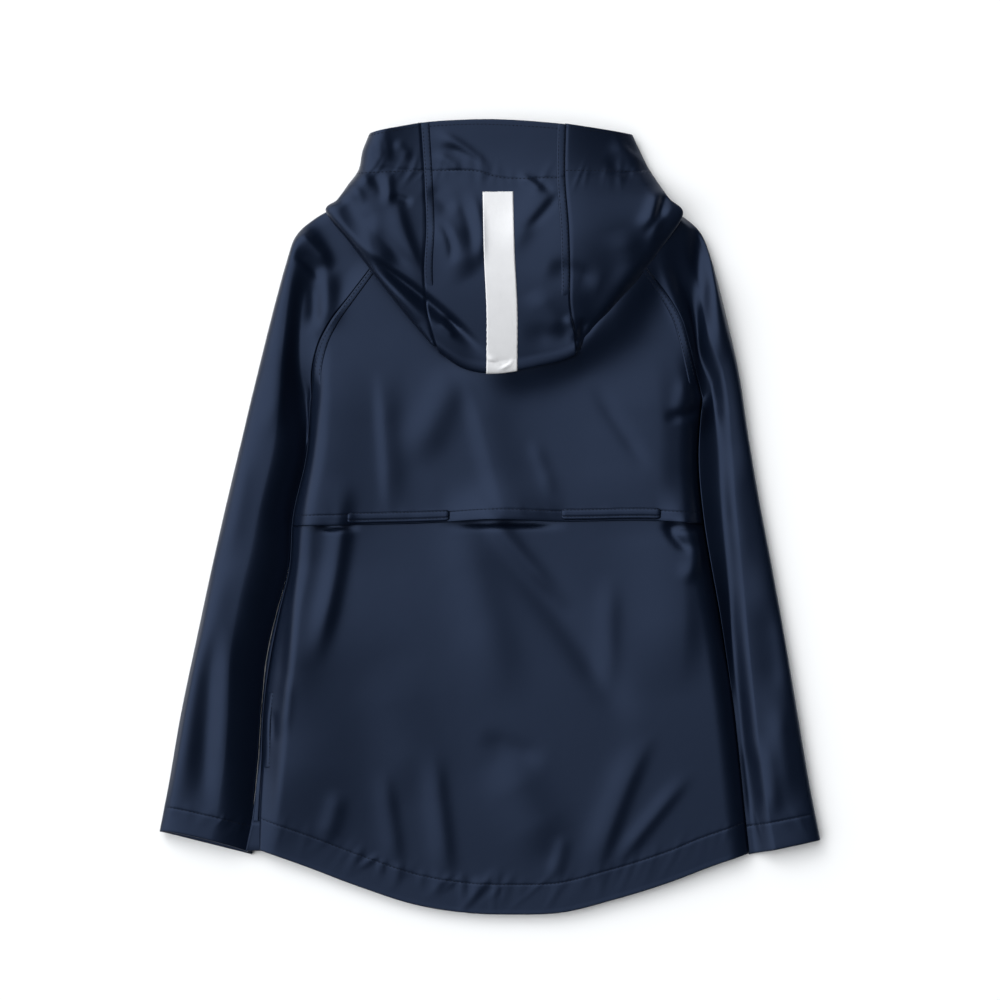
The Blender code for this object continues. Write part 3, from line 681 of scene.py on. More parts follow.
stitch_rows = thread_tree()
thread_navy, shader, where = new_finish("navy thread")
fibre = where.noise(5000.0, 3.0)
feed(shader, "Base Color", fibre.blend((0.002, 0.004, 0.009), (0.006, 0.010, 0.022)))
feed(shader, "Roughness", fibre * 0.2 + 0.65)
shader.inputs["Specular IOR Level"].default_value = 0.15


def line_on(grid, rows, columns, lift):
    """Points and normals on a grid at fractional rows and columns, raised a little."""
    rows, columns = np.broadcast_arrays(np.asarray(rows, float), np.asarray(columns, float))
    i = np.clip(rows.astype(int), 0, grid.shape[0] - 2)
    j = np.clip(columns.astype(int), 0, grid.shape[1] - 2)
    u, v = (rows - i)[:, None], (columns - j)[:, None]

    def read(field):
        return (
            field[i, j] * (1 - u) * (1 - v)
            + field[i + 1, j] * u * (1 - v)
            + field[i, j + 1] * (1 - u) * v
            + field[i + 1, j + 1] * u * v
        )

    normal = read(normals_of(grid))
    normal = normal * np.sign(normal[len(normal) // 2, 2])
    return read(grid) + normal * lift, normal


def sewn(name, lines, pitch=STITCH["Pitch"]):
    """Rows of stitches as one plain mesh."""
    points, edges, ups = [], [], []
    for line, up in lines:
        start = len(points)
        points += (line * MM).tolist()
        ups += up.tolist()
        edges += [(start + k, start + k + 1) for k in range(len(line) - 1)]
    mesh = bpy.data.meshes.new(name)
    mesh.from_pydata(points, edges, [])
    mesh.attributes.new("up", "FLOAT_VECTOR", "POINT").data.foreach_set("vector", np.ravel(ups))
    guide = add_object(name, mesh)
    modifier = guide.modifiers.new("stitches", "NODES")
    modifier.node_group = stitch_rows
    inputs = {key: size * MM for key, size in STITCH.items()}
    inputs.update(Pitch=pitch * MM, Thread=thread_navy)
    for item in stitch_rows.interface.items_tree:
        if item.name in inputs:
            modifier[item.identifier] = inputs[item.name]
    made = bpy.data.meshes.new_from_object(guide.evaluated_get(bpy.context.evaluated_depsgraph_get()))
    guide.modifiers.remove(modifier)
    guide.data = made
    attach(guide, "root")
    return guide


hem_row = int(np.argmin(np.abs(off_stitch[:, 60])))
hem_line = line_on(lower_back_grid, hem_row, np.arange(1.5, len(across) - 2, 0.5), lift=0.06)
hem_stitches = sewn("coat_hem_stitches", [hem_line])

# ---- Back cape -------------------------------------------------------------------------------
# The cape is a loose flap over the vent, sewn in with the neck and both raglan seams. Its hem
# hangs free over the lower back, a little proud of it, and carries one row of stitches.

CAPE_HEM = {
    "x": [-158, -90, -36, 10, 56, 132, 171],
    "y": [-6.5, -5.6, -4, -1.2, -2.9, -2.4, -4.5],
}
CAPE_STITCH = 8.5
CAPE_NECK_DIP = 5.0
# Rows beside the line of stitches, measured up from it.
CAPE_FOOT_TOP = 2.4
CAPE_FOOT = (1.4, 0.7, 0.25, 0, -0.25, -0.7, -1.4, -2.4, -3.8, -5.4, -7.6)
CAPE_BARS = {"left": (-113.0, -32.0), "right": (57.0, 136.0)}
FLAP_GAPS = [(-160, -110, 4.2), (-38, 62, 6.2), (132, 176, 3.2)]  # from, to, how far it stands open


def cape_height(x, y):
    """Outer face of the cape where it lies on the back."""
    return laid_height(x, y) + CAPE_RISE + creased(x, y)


def standing_open(x, y):
    """How far the cape's free hem stands off the back between its two tabs."""
    hem = line_y(CAPE_HEM, x)
    height = 0.0 * x
    for start, end, rise in FLAP_GAPS:
        inside = np.clip((x - start) / (end - start), 0, 1)
        height = height + rise * np.sin(np.pi * inside) ** 1.5
    return height * (1 - ease(0, 46, y - hem)) ** 1.5


def cape_rows(columns):
    """Rows from the neck down the raglan seams, then down to the cape's hem."""
    rows = []
    for t in np.linspace(0, 1, 62):
        (x0, y0), (x1, y1) = raglan("left", t), raglan("right", t)
        x = x0 + SEAM_GAP + (x1 - x0 - 2 * SEAM_GAP) * columns
        dip = CAPE_NECK_DIP * (1 - ease(0, 0.3, t)) * np.sin(np.pi * columns)
        rows.append((x, y0 + (y1 - y0) * columns - dip))
    last_x, top = rows[-1]
    line = line_y(CAPE_HEM, last_x) + CAPE_STITCH
    below = [top + (line + CAPE_FOOT_TOP - top) * down for down in np.linspace(0, 1, 36)[1:]]
    below += [line + offset for offset in CAPE_FOOT]
    for y in below:
        left, right = body_sides(y)
        rows.append((left + (right - left) * columns, y))
    return rows


cape_across = spread(0.05, 9, 118)
cape_x, cape_y = (np.stack(v) for v in zip(*cape_rows(cape_across)))
off_line = line_y(CAPE_HEM, cape_x) + CAPE_STITCH - cape_y
cape_z = cape_height(cape_x, cape_y) + standing_open(cape_x, cape_y)
cape_gathers = puckers(
    cape_x, off_line, seed=23, spacing=9.0, height=0.35, slant=0.3, inside=4.0, outside=5.0
)
cape_z = cape_z + cape_gathers * edge_hold(cape_x, cape_y)
cape_z = cape_z + bite(off_line, depth=0.3, width=0.7)
cape_grid = grid_of(cape_x, cape_y, cape_z)
cape = cloth("back_cape_panel", cape_grid, coated_navy, PANEL_WALL, hem=CAPE_STITCH)
place(cape, "back_cape")
cape_row = cape_grid.shape[0] - len(CAPE_FOOT) + CAPE_FOOT.index(0)
cape_line = line_on(cape_grid, cape_row, np.arange(1.5, len(cape_across) - 2, 0.5), lift=0.02)
cape_trims = [sewn("cape_hem_stitches", [cape_line])]

# ---- Cape tabs -------------------------------------------------------------------------------
# Two narrow doubled tabs are stitched flat over the cape's hem, through to the lower back, and
# hold the flap down. Each is a rounded strip with a row of stitches near each of its long edges.

TAB_FOOT = 1.5  # above the cape's hem
TAB_WIDTH = 9.0
TAB_WALL = 0.5
TAB_ROUND = 2.2
TAB_LIFT = 0.55
TAB_BELLY = 1.1
TAB_ROWS = (4.2, 12.4)  # where its stitches run, in rows of its grid
TAB_PITCH = 2.8


def tab_grid(ends):
    """A strip along the cape's hem, domed across and rounded at its ends."""
    x = np.linspace(*ends, 66)
    share = np.linspace(0, 1, 15)[:, None]
    y = line_y(CAPE_HEM, x) + TAB_FOOT + TAB_WIDTH * share
    ends_in = ease(0, TAB_ROUND, x - ends[0]) * ease(0, TAB_ROUND, ends[1] - x)
    y = y + TAB_WIDTH * (0.5 - share) * 0.35 * (1 - ends_in)
    belly = (1 - np.abs(2 * share - 1) ** 4) * (0.35 + 0.65 * ends_in)
    groove = bite((share - 0.3) * TAB_WIDTH, depth=0.45, width=0.8)
    roll = 0.35 * np.sin(x / 4.4) * np.sin(x / 13.0)
    return grid_of(x, y, cape_height(x, y) + TAB_LIFT + TAB_BELLY * belly + groove + 0.25 * roll * belly)


for side, ends in CAPE_BARS.items():
    grid = tab_grid(ends)
    tab = cloth(f"cape_tab_{side}", grid, coated_navy, TAB_WALL)
    place(tab, f"cape_bar_{side}")
    columns = np.arange(1.5, grid.shape[1] - 2, 0.5)
    lines = [line_on(grid, row, columns, lift=0.05) for row in TAB_ROWS]
    rows = sewn(f"cape_tab_stitches_{side}", lines, TAB_PITCH)
    cape_trims += [tab, rows]

# ---- Side seam -------------------------------------------------------------------------------
# The foot of the left side seam is felled: folded over and stitched flat on the lower back, and
# pressed in at both ends.

SIDE_FELL_ENDS = (-138, -200)
SIDE_FELL_IN = 1.2  # from the seam
SIDE_FELL_WIDTH = 5.6
SIDE_FELL_WALL = 0.45
SIDE_FELL_SUNK = 0.25  # its edges and ends are pressed into the back
SIDE_FELL_ROUND = 1.3

fell_y = np.linspace(*SIDE_FELL_ENDS, 40)[:, None]
fell_left, _ = body_sides(fell_y)
fell_share = np.linspace(0, 1, 9)
fell_x = fell_left + SIDE_FELL_IN + SIDE_FELL_WIDTH * fell_share
fell_round = (1 - np.abs(2 * fell_share - 1) ** 2) * np.sin(np.linspace(0, np.pi, 40)[:, None]) ** 0.3
fell_z = laid_height(fell_x, fell_y) + creased(fell_x, fell_y) * edge_hold(fell_x, fell_y)
fell_grid = grid_of(fell_x, fell_y, fell_z - SIDE_FELL_SUNK + SIDE_FELL_ROUND * fell_round)
side_fell = cloth("side_seam_fell", fell_grid, coated_navy, SIDE_FELL_WALL)
place(side_fell, "side_welt_left")
fell_line = line_on(fell_grid, np.arange(0.5, 38.5, 0.5), 6.6, lift=0.05)
side_rows = sewn("side_seam_stitches", [fell_line])

# ---- Sleeves ---------------------------------------------------------------------------------
# Raglan sleeves, each cut in one piece from the neck to the cuff, folded round and sewn under
# the arm. The cuffs are turned in and stitched once. The left cuff is tucked under the coat.

# A section's t is 0 at the neck, 1 at the armpit and 3 at the cuff's edge. The heights of its crest
# and trough stand at shares of the way from its outer fold to the body.
SLEEVE_COLUMNS = ("t", "outer_x", "outer_y", "inner_y", "crest", "crest_at", "trough", "trough_at")
SLEEVES = {
    "left": [
        (0.00, -88, 261, 236, 11.5, 0.45, 12.5, 0.80),
        (0.25, -113, 252, 200, 13.5, 0.40, 13.0, 0.75),
        (0.45, -138, 240, 170, 13.0, 0.32, 12.5, 0.70),
        (0.60, -154, 226, 153, 20.0, 0.18, 16.0, 0.52),
        (0.75, -162, 205, 136, 21.0, 0.18, 15.5, 0.54),
        (0.88, -173, 165, 117, 21.0, 0.30, 12.5, 0.72),
        (1.00, -186, 113, ARMPIT_Y, 20.0, 0.44, 5.0, 0.90),
        (1.25, -198, 63, 50, 20.0, 0.50, 3.4, 0.985),
        (1.50, -209, 17, 2, 20.0, 0.50, 3.4, 0.985),
        (1.80, -222, -40, -55, 20.0, 0.46, 3.4, 0.985),
        (2.10, -234, -96, -108, 19.0, 0.50, 3.4, 0.985),
        (2.45, -247, -158, -170, 17.5, 0.60, 3.4, 0.985),
        (2.75, -256, -210, -226, 16.0, 0.60, 3.4, 0.985),
        (3.00, -263.8, -250.5, -269, 14.5, 0.54, 3.4, 0.985),
    ],
    "right": [
        (0.00, 116, 261, 236, 11.5, 0.45, 12.5, 0.80),
        (0.25, 135, 252, 200, 13.5, 0.40, 13.0, 0.75),
        (0.45, 155, 240, 174, 13.0, 0.35, 12.0, 0.70),
        (0.60, 168, 228, 157, 12.0, 0.40, 9.0, 0.72),
        (0.75, 176, 209, 137, 14.0, 0.45, 6.5, 0.80),
        (0.88, 184, 180, 117, 17.0, 0.50, 5.0, 0.84),
        (1.00, 195.5, 132, ARMPIT_Y, 14.5, 0.38, 4.6, 0.74),
        (1.25, 206, 68, 58, 12.5, 0.34, 7.6, 0.62),
        (1.50, 214, 20, 8, 12.5, 0.40, 7.4, 0.66),
        (1.80, 225, -38, -48, 13.0, 0.50, 7.0, 0.76),
        (2.10, 234.5, -90, -102, 14.0, 0.60, 5.0, 0.88),
        (2.45, 246, -158, -168, 14.5, 0.66, 3.4, 0.94),
        (2.75, 255.5, -214, -224, 14.0, 0.66, 3.4, 0.94),
        (3.00, 263.9, -257, -269, 13.5, 0.62, 3.4, 0.94),
    ],
}
SLEEVE_GAP = 0.2
SLEEVE_EDGE_Z = 3.2
SLEEVE_FOLD_Z = 6.0
SLEEVE_FOLD_RUN = 9.0
BODY_CLEARANCE = 0.1
RIGHT_EDGE_LIFT = 10.0  # the right sleeve stands up against the body's side
SLEEVE_WALL = 0.6
CREST_POWER = 3.0  # how flat the top is beside the outer fold
LEFT_FALL_POWER = 1.6  # the left sleeve falls away steadily toward the body
EDGE_POWER = {"left": 2.0, "right": 1.3}
CUFF_DEPTH = 20.0
CUFF_T = 2.875  # where the row of stitches lies, a cuff's depth from the edge
CUFF_T_LENGTH = 163.0  # millimetres for one t at the cuff
CUFF_SETBACK = 3.6  # the left cuff's upper edge is drawn back
SETBACK_T = 2.75
CUFF_TUCK = 7.0
CUFF_SEED = {"left": 31, "right": 37}
# Soft creases of the sleeves' lower layer.
SLEEVE_UNDER_FOLDS = [
    (-215, 40, -190, -20, 5, 1.2, 7, 5),
    (-205, -60, -235, -120, -5, 1.0, 5, 8),
    (-240, -170, -215, -215, 4, 1.1, 6, 6),
    (190, 60, 212, 0, -4, 1.2, 6, 8),
    (232, -60, 208, -110, 5, 1.1, 5, 7),
    (222, -160, 244, -220, -4, 1.0, 7, 5),
]


def rounded(distance, run, power=2.0):
    """0 at a fold, rising as a quarter ellipse to 1 at the given run; flatter on top if power is more."""
    t = np.clip(distance / run, 0, 1)
    return (1 - (1 - t) ** power) ** (1 / power)


def sleeve_edge(side, t, inner_y):
    """The point where a section meets the body, and the height there of both layers."""
    sign = SIDES[side]
    seam_x, seam_y = raglan(side, min(t, 1))
    seam_z = float(laid_height(seam_x, seam_y)) + CAPE_RISE
    if t <= 1:
        point = np.array([seam_x + sign * SLEEVE_GAP, seam_y])
        return point, seam_z, ARMPIT_UNDER_Z * float(ease(0.7, 1.0, t))
    limit = side_x(BODY_SIDES, side, inner_y) + sign * BODY_CLEARANCE
    leaving = 1 - float(ease(1, 1.25, t))
    edge_z = SLEEVE_EDGE_Z + (seam_z - SLEEVE_EDGE_Z) * leaving
    if side == "left":
        limit = limit + CUFF_TUCK * float(ease(-222, -266, inner_y))
    else:
        edge_z = edge_z + RIGHT_EDGE_LIFT * float(ease(1.0, 1.08, t) * ease(2.4, 1.9, t))
    return np.array([limit, inner_y]), edge_z, ARMPIT_UNDER_Z * leaving


def sleeve_top(side, t, row, share, edge_z, fold_z):
    """Height of the upper layer: it falls from the crest to the edge, and rises from the fold."""
    crest, trough = row["crest"], row["trough"]
    fall = np.clip((share - row["crest_at"]) / (row["trough_at"] - row["crest_at"]), 0, 1)
    smooth = ease(0, 1, fall)
    if side == "left":
        smooth = smooth + (fall**LEFT_FALL_POWER - smooth) * float(ease(1.0, 1.25, t))
    past = np.clip((share - row["trough_at"]) / (1 - row["trough_at"]), 0, 1)
    falling = crest + (trough - crest) * smooth + (edge_z - trough) * past ** EDGE_POWER[side]
    rising = fold_z + (crest - fold_z) * rounded(share, row["crest_at"], CREST_POWER)
    return np.where(share >= row["crest_at"], falling, rising)


def sleeve_section(side, t):
    """One section, from the back edge over the crest, round the outer fold and back underneath."""
    table = np.array(SLEEVES[side], float).T
    row = {name: float(through(table[0], column, t)) for name, column in zip(SLEEVE_COLUMNS, table)}
    inner, edge_z, under_z = sleeve_edge(side, t, row["inner_y"])
    outer = np.array([row["outer_x"], row["outer_y"]])
    fold_z = min(SLEEVE_FOLD_Z, row["crest"] / 2)
    near_fold = 1 - np.sin(np.linspace(0, np.pi / 2, 20))
    share = np.concatenate([np.linspace(1, row["crest_at"], 38)[:-1], row["crest_at"] * near_fold])
    upper = inner + (outer - inner) * (1 - share)[:, None]
    hold = ease(0, 0.08, share)
    if t > 1:
        hold = hold * (1 - ease(0.9, 1.0, share) * float(ease(1, 1.1, t)))
    upper_z = sleeve_top(side, t, row, share, edge_z, fold_z) + creased(*upper.T) * hold
    width = float(np.linalg.norm(outer - inner))
    run = SLEEVE_FOLD_RUN * (1 - np.cos(np.linspace(0, np.pi / 2, 9)[1:])) / width
    lower_share = np.concatenate([run, np.linspace(run[-1], 1, 20)[1:]])
    lower = outer + (inner - outer) * lower_share[:, None]
    lower_z = fold_z * (1 - rounded(lower_share * width, SLEEVE_FOLD_RUN))
    lower_z = lower_z + under_z * ease(0.88, 1.0, lower_share)
    flat_part = ease(0.2, 0.3, lower_share) * ease(0.02, 0.15, 1 - lower_share)
    lower_z = lower_z + np.maximum(folds(*lower.T, SLEEVE_UNDER_FOLDS), 0) * flat_part
    if side == "left" and t > SETBACK_T:
        drawn = CUFF_SETBACK * (t - SETBACK_T) / (3 - SETBACK_T)
        setback = drawn * np.sin(np.pi * np.clip(1 - share, 0, 1)) ** 0.5
        upper = upper + setback[:, None] * [0.2, 1.0]
    return np.concatenate([np.column_stack([upper, upper_z]), np.column_stack([lower, lower_z])])


sleeve_t = np.concatenate([
    np.linspace(0, 1, 62)[:-1],
    np.linspace(1, CUFF_T - 0.012, 128)[:-1],
    CUFF_T + np.array([-0.012, -0.006, -0.003, 0, 0.003, 0.006, 0.012]),
    np.linspace(CUFF_T + 0.02, 2.995, 12),
])
cuff_row = int(np.argmin(np.abs(sleeve_t - CUFF_T)))
cuff_off = (sleeve_t[:, None] - CUFF_T) * CUFF_T_LENGTH
for side in SIDES:
    grid = np.stack([sleeve_section(side, t) for t in sleeve_t])
    girth = np.cumsum(np.linalg.norm(np.diff(grid[-1], axis=0, prepend=grid[-1][:1]), axis=-1))
    gather = puckers(
        girth, cuff_off, CUFF_SEED[side], spacing=7.5, height=0.5, slant=0.35, inside=6.0, outside=9.0
    )
    gather = gather + bite(cuff_off, depth=0.35, width=0.8)
    out = outward(grid, 100)
    normal = normals_of(grid) * out
    up_only = np.clip(normal[..., 2], 0, 1)  # the lower layer stays flat on the surface
    grid = grid + normal * (gather * up_only)[..., None]
    piece = cloth(f"sleeve_panel_{side}", grid, coated_navy, SLEEVE_WALL, out, CUFF_DEPTH)
    place(piece, f"sleeve_{side}")
    rows = sewn(f"cuff_stitches_{side}", [line_on(grid, cuff_row, np.arange(2, 52, 0.5), lift=0.02)])

# ---- Raglan seams ----------------------------------------------------------------------------
# The seams between cape and sleeves are felled: a narrow folded strip lies on the cape's edge,
# with a row of stitches near each of its sides.

FELL_WALL = 0.35
FELL_SUNK = 0.3  # its foot is pressed this far into the cloth
FELL_LIFT = 0.36
FELL_ROUND = 0.3
FELL_STITCHES = (1.6, 6.4)  # in columns of its grid


def felled(name, node, grid, side, rows, edge, inner):
    """A folded strip between two columns of a panel's grid, counted in from one side."""
    last = grid.shape[1] - 1
    edge, inner = (edge, inner) if side == "left" else (last - edge, last - inner)
    shown = ease(0, 0.05, 1 - np.linspace(0, 1, len(rows)))
    points = []
    for share in np.linspace(0, 1, 9):
        position, normal = line_on(grid, rows, edge + (inner - edge) * share, lift=0)
        bulge = (FELL_LIFT + FELL_ROUND * (1 - abs(2 * share - 1) ** 3)) * shown - FELL_SUNK
        points.append(position + normal * bulge[:, None])
    strip = np.stack(points, axis=1)
    piece = cloth(name, strip, coated_navy, FELL_WALL)
    place(piece, node)
    lengthwise = np.arange(4, strip.shape[0] - 5, 0.5)
    lines = [line_on(strip, lengthwise, column, lift=0.03) for column in FELL_STITCHES]
    return [piece, sewn(f"{name}_stitches", lines)]


for side in SIDES:
    rows = np.arange(1, 60)
    cape_trims += felled(f"raglan_fell_{side}", f"raglan_welt_{side}", cape_grid, side, rows, 0.6, 4.0)

# ---- Hood ------------------------------------------------------------------------------------
# A three-piece hood: a middle panel from the face opening over the crown to the neck, and two
# side panels. It is folded back flat, so its upper layer shows and its lower one lies on the
# cape. The opening has a deep turned hem, stitched on the crown.

HOOD_SEAMS = {
    "y": [112, 131, 148, 167, 195, 230, 270, 316],
    "left": [-39, -41, -46, -50, -52, -50.5, -52, -55],
    "right": [70, 69, 67.5, 64, 63.5, 62.4, 59.7, 60.6],
}
HOOD_RIM = {
    "x": [-96, -56, -20, 5, 30, 50, 85, 114],
    "y": [305.8, 313.6, 316.2, 316.6, 315.4, 313.7, 310, 305.8],
}
HOOD_FOLD = {
    "x": [-54, -41, -23, -10, 5, 22, 39, 56, 66, 73, 84],
    "y": [147, 134, 120, 115.8, 115.2, 117.2, 120.5, 124.2, 127.8, 132, 145],
}
HOOD_RIDGE = {
    "y": [112, 135, 160, 190, 220, 250, 285, 317],
    "z": [26, 30, 33, 35, 34.5, 31, 27, 27.3],
}
HOOD_BAND = {
    "x": [-104, -85, -55, -32, -8, 4, 50, 81, 100, 120, 129],
    "y": [277.6, 277, 276, 276, 275, 271.4, 270.2, 271.2, 273.6, 276.8, 278.4],
}
# Rows from the rim to the band's stitches as shares of the way, then beside them in millimetres.
HOOD_RIM_SHARES = np.concatenate([[0.018, 0.04, 0.07, 0.1], np.linspace(0.14, 1, 17)])
HOOD_BAND_ROWS = (1.8, 1, 0.45, 0, -0.45, -1, -1.8, -3)
HOOD_BAND_TOP = 3.0
HOOD_WALL = 0.6
HOOD_CLEARANCE = 1.2
HOOD_GAP = 0.1
HOOD_OVERLAP = 0.8  # the side panels' edges are tucked under the middle panel's
HOOD_SEAM_DIP = 0.8
HOOD_FALL = {"left": -0.30, "right": 0.60}  # share of its height that a side panel loses at its edge
HOOD_FOLD_RUN = 9.0
HOOD_HEM = 14.0
HOOD_FELL_FOOT = {"left": 182.0, "right": 147.0}  # where the felled seams sink into the folds
HOOD_NECK_NARROWING = 0.36
HOOD_BAND_Y = 276.0  # y of the band's stitches on the side panels' seams
HOOD_RIM_ROW = 3.0  # row of the faint stitches along the rim
HOOD_UPPER_ROWS = 80  # rows of the middle panel that surely lie in its upper layer
# A side panel's sections, from the rim to the foot: each leaves the middle panel at seam_y, folds at
# its edge, and ends at the neck underneath. Both sides lie alike underneath.
HOOD_UNDER_COLUMNS = ("under_z", "neck_y", "neck_z")
HOOD_UNDER = [
    (0.0, 258, 0.0),
    (0.0, 212, 0.0),
    (0.0, 238, 0.0),
    (8.0, 263.5, 5.0),
    (17.0, 262, 12.0),
    (17.6, 255, 15.0),
    (17.2, 243, 15.4),
    (17.2, 239, 15.6),
    (17.4, 237, 15.6),
    (17.6, 237, 15.6),
    (17.8, 237, 15.6),
    (17.8, 237, 15.6),
]
HOOD_SIDE_COLUMNS = ("seam_y", "edge_x", "edge_y", "neck_x")
HOOD_SIDES = {
    "left": [
        (313.4, -96, 305.5, 6),
        (298, -101.5, 291.5, 6),
        (281, -104.5, 277, -52),
        (263, -113, 264.5, -80),
        (245, -121, 253, -82),
        (226, -130, 243, -76),
        (206, -110, 217, -62),
        (186, -90, 190.7, -53),
        (166, -70, 165.5, -46),
        (150, -54, 146.5, -42),
        (141, -48.2, 139.8, -40.6),
        (136, -45, 136.4, -40),
    ],
    "right": [
        (312.6, 114, 305.8, 10),
        (298, 119.5, 294, 10),
        (281, 126.4, 280, 74),
        (263, 135, 266, 106),
        (245, 143, 254, 110),
        (226, 153.6, 241, 104),
        (206, 134, 211, 92),
        (186, 119, 188.8, 84),
        (166, 103, 169, 78),
        (150, 88, 150.8, 73),
        (141, 79.5, 139.8, 71),
        (134.5, 74.4, 133.6, 70),
    ],
}
HOOD_FOLDS = [
    # the broad slopes of both halves
    (-106, 276, -84, 176, 0, 3.6, 36, 10),
    (64, 285, 68, 150, 0, 3.0, 46, 34),
    # left side panel
    (-124, 266, -50, 188, -5, -3.6, 8, 10),
    (-112, 216, 2, 124, 5, -6.0, 4, 6),
    (-98, 196, -14, 122, 4, 2.0, 9, 7),
    (-41, 156, -27, 143, 1, 1.6, 2.4, 2.4),
    (-37, 160, -24, 148, 1, -1.5, 2.2, 2.2),
    (-77, 262, -50, 184, -3, 2.2, 5, 9),
    (-80, 256, -60, 250, 0, -1.6, 3, 4),
    (-96, 240, -74, 200, -4, 2.0, 7, 8),
    (-102, 308, -82, 284, 2, 1.2, 3, 4),
    (-94, 314, -88, 282, -2, -1.0, 3, 3.5),
    (-86, 310, -80, 280, 1, 1.0, 3.5, 4),
    (-76, 300, -62, 284, 0, 1.2, 4, 4),
    (-112, 282, -92, 260, 1, 1.2, 3, 4),
    (-98, 280, -84, 252, 2, -1.2, 4, 4),
    (-120, 270, -98, 248, 2, 1.3, 4, 5),
    (-82, 278, -80, 244, 1, 1.6, 4, 5),
    # middle panel, either side of the tape
    (-50, 312, 2, 272, 3, 2.4, 4, 7),
    (-40, 296, -2, 276, 3, -1.8, 3, 4),
    (-46, 290, -20, 274, 1, 1.6, 4, 4),
    (-52, 262, -28, 240, 2, -2.0, 7, 7),
    (-28, 262, -12, 206, 4, -1.4, 6, 5),
    (-16, 262, -10, 196, 5, 1.8, 4, 6),
    (-44, 238, -16, 188, 5, 3.0, 10, 12),
    (-40, 236, -30, 200, 4, -1.8, 3, 3),
    (22, 274, 44, 258, 0, 1.8, 3, 4),
    (34, 272, 52, 256, 0, -1.1, 3, 3),
    (56, 270, 14, 206, -3, 1.9, 8, 13),
    (58, 262, 26, 226, 2, -1.3, 4, 4),
    (44, 199, 88, 186, 2, -2.4, 8, 10),
    (30, 180, 58, 140, 4, 1.6, 9, 9),
    (24, 146, 78, 150, -3, -1.3, 8, 9),
    # right side panel
    (96, 304, 126, 282, -2, 1.7, 4, 8),
    (90, 288, 120, 270, -2, -1.0, 6, 5),
    (136, 268, 118, 226, 4, 3.0, 4, 6),
    (138, 260, 134, 234, 0, -3.0, 5, 4),
    (146, 250, 128, 214, -4, 1.8, 4, 5),
    (100, 230, 112, 182, 6, 1.9, 10, 12),
    (61, 162, 69, 140, 0, 2.2, 3, 4),
    (74, 160, 71, 138, 1, -1.6, 4, 3),
    (122, 200, 84, 148, -5, 1.6, 7, 9),
]


def hood_ridge(x, y):
    """Outer face of the hood along its middle, creases left out."""
    return through(HOOD_RIDGE["y"], HOOD_RIDGE["z"], y) - 0.8 * ((x - CENTRE_X) / 62) ** 2


def hood_seam_top(side, y):
    """The same on a seam, and where it turns down over the lower fold."""
    foot = HOOD_SEAMS[side][0]
    fold = line_y(HOOD_FOLD, foot)
    if y > fold + HOOD_FOLD_RUN:
        return hood_ridge(side_x(HOOD_SEAMS, side, y), y)
    crest = hood_ridge(foot, fold + HOOD_FOLD_RUN)
    middle = (crest + cape_height(foot, fold) + HOOD_CLEARANCE) / 2
    return middle + (crest - middle) * rounded(y - fold, HOOD_FOLD_RUN)


def hood_creases(x, y):
    """Height of the hood's creases, the bite of its band's stitches, and the gathers beside them."""
    off_band = y - line_y(HOOD_BAND, x)
    gather = puckers(x, off_band, seed=43, spacing=8.0, height=0.5, slant=0.25, inside=8.0, outside=9.0)
    below_rim = line_y(HOOD_RIM, x) - y
    fade = 0.25 + 0.75 * ease(2, 18, below_rim)
    return folds(x, y, HOOD_FOLDS) * fade + bite(off_band, depth=0.4, width=0.9) + gather


def hood_middle_rows(columns):
    """Rows from the rim down to the lower fold, round it, and back up underneath to the neck."""
    def across(y):
        left, right = (side_x(HOOD_SEAMS, side, y) for side in SIDES)
        return left + HOOD_GAP + (right - left - 2 * HOOD_GAP) * columns

    rim = line_y(HOOD_RIM, across(316.0))
    band = line_y(HOOD_BAND, across(273.0))
    fold = line_y(HOOD_FOLD, across(112.0))
    under = cape_height(across(fold), fold) + HOOD_CLEARANCE
    turn_y = fold + HOOD_FOLD_RUN
    crest = hood_ridge(across(turn_y), turn_y)
    fold_z = (under + crest) / 2
    rows = []
    down = [rim + (band + HOOD_BAND_TOP - rim) * s for s in HOOD_RIM_SHARES]
    down += [band + offset for offset in HOOD_BAND_ROWS]
    down += [band - 3 + (turn_y - band + 3) * s for s in np.linspace(0, 1, 70)[1:]]
    for y in down:
        x = across(y)
        rows.append(grid_of(x, y, hood_ridge(x, y) + hood_creases(x, y)))
    for angle in np.radians(np.linspace(80, 0, 9)):
        y = fold + HOOD_FOLD_RUN * (1 - np.cos(angle))
        x = across(y)
        rows.append(grid_of(x, y, fold_z + (crest - fold_z + hood_creases(x, y)) * np.sin(angle)))
    for angle in np.radians(np.linspace(10, 90, 8)):
        y = fold + HOOD_FOLD_RUN * (1 - np.cos(angle))
        x = across(y)
        low = cape_height(x, y) + HOOD_CLEARANCE
        rows.append(grid_of(x, y, fold_z + (low - fold_z) * np.sin(angle)))
    for share in np.linspace(0, 1, 44)[1:]:
        y = turn_y + (NECK_Y + 1 - turn_y) * share
        x = CENTRE_X + (across(y) - CENTRE_X) * (1 - HOOD_NECK_NARROWING * share**0.7)
        rows.append(grid_of(x, y, cape_height(x, y) + HOOD_CLEARANCE))
    return np.stack(rows)


def hood_panel(name, node, grid, band_row, columns):
    """A hood panel with its turned rim, and its stitches at the rim and along the band."""
    rim_last = grid[::-1]
    piece = cloth(name, rim_last, coated_navy, HOOD_WALL, outward(rim_last, -40), HOOD_HEM, steps=6)
    place(piece, node)
    lines = [line_on(grid, row, columns, lift=0.02) for row in (HOOD_RIM_ROW, band_row)]
    return piece, sewn(name.replace("panel", "stitches"), lines)


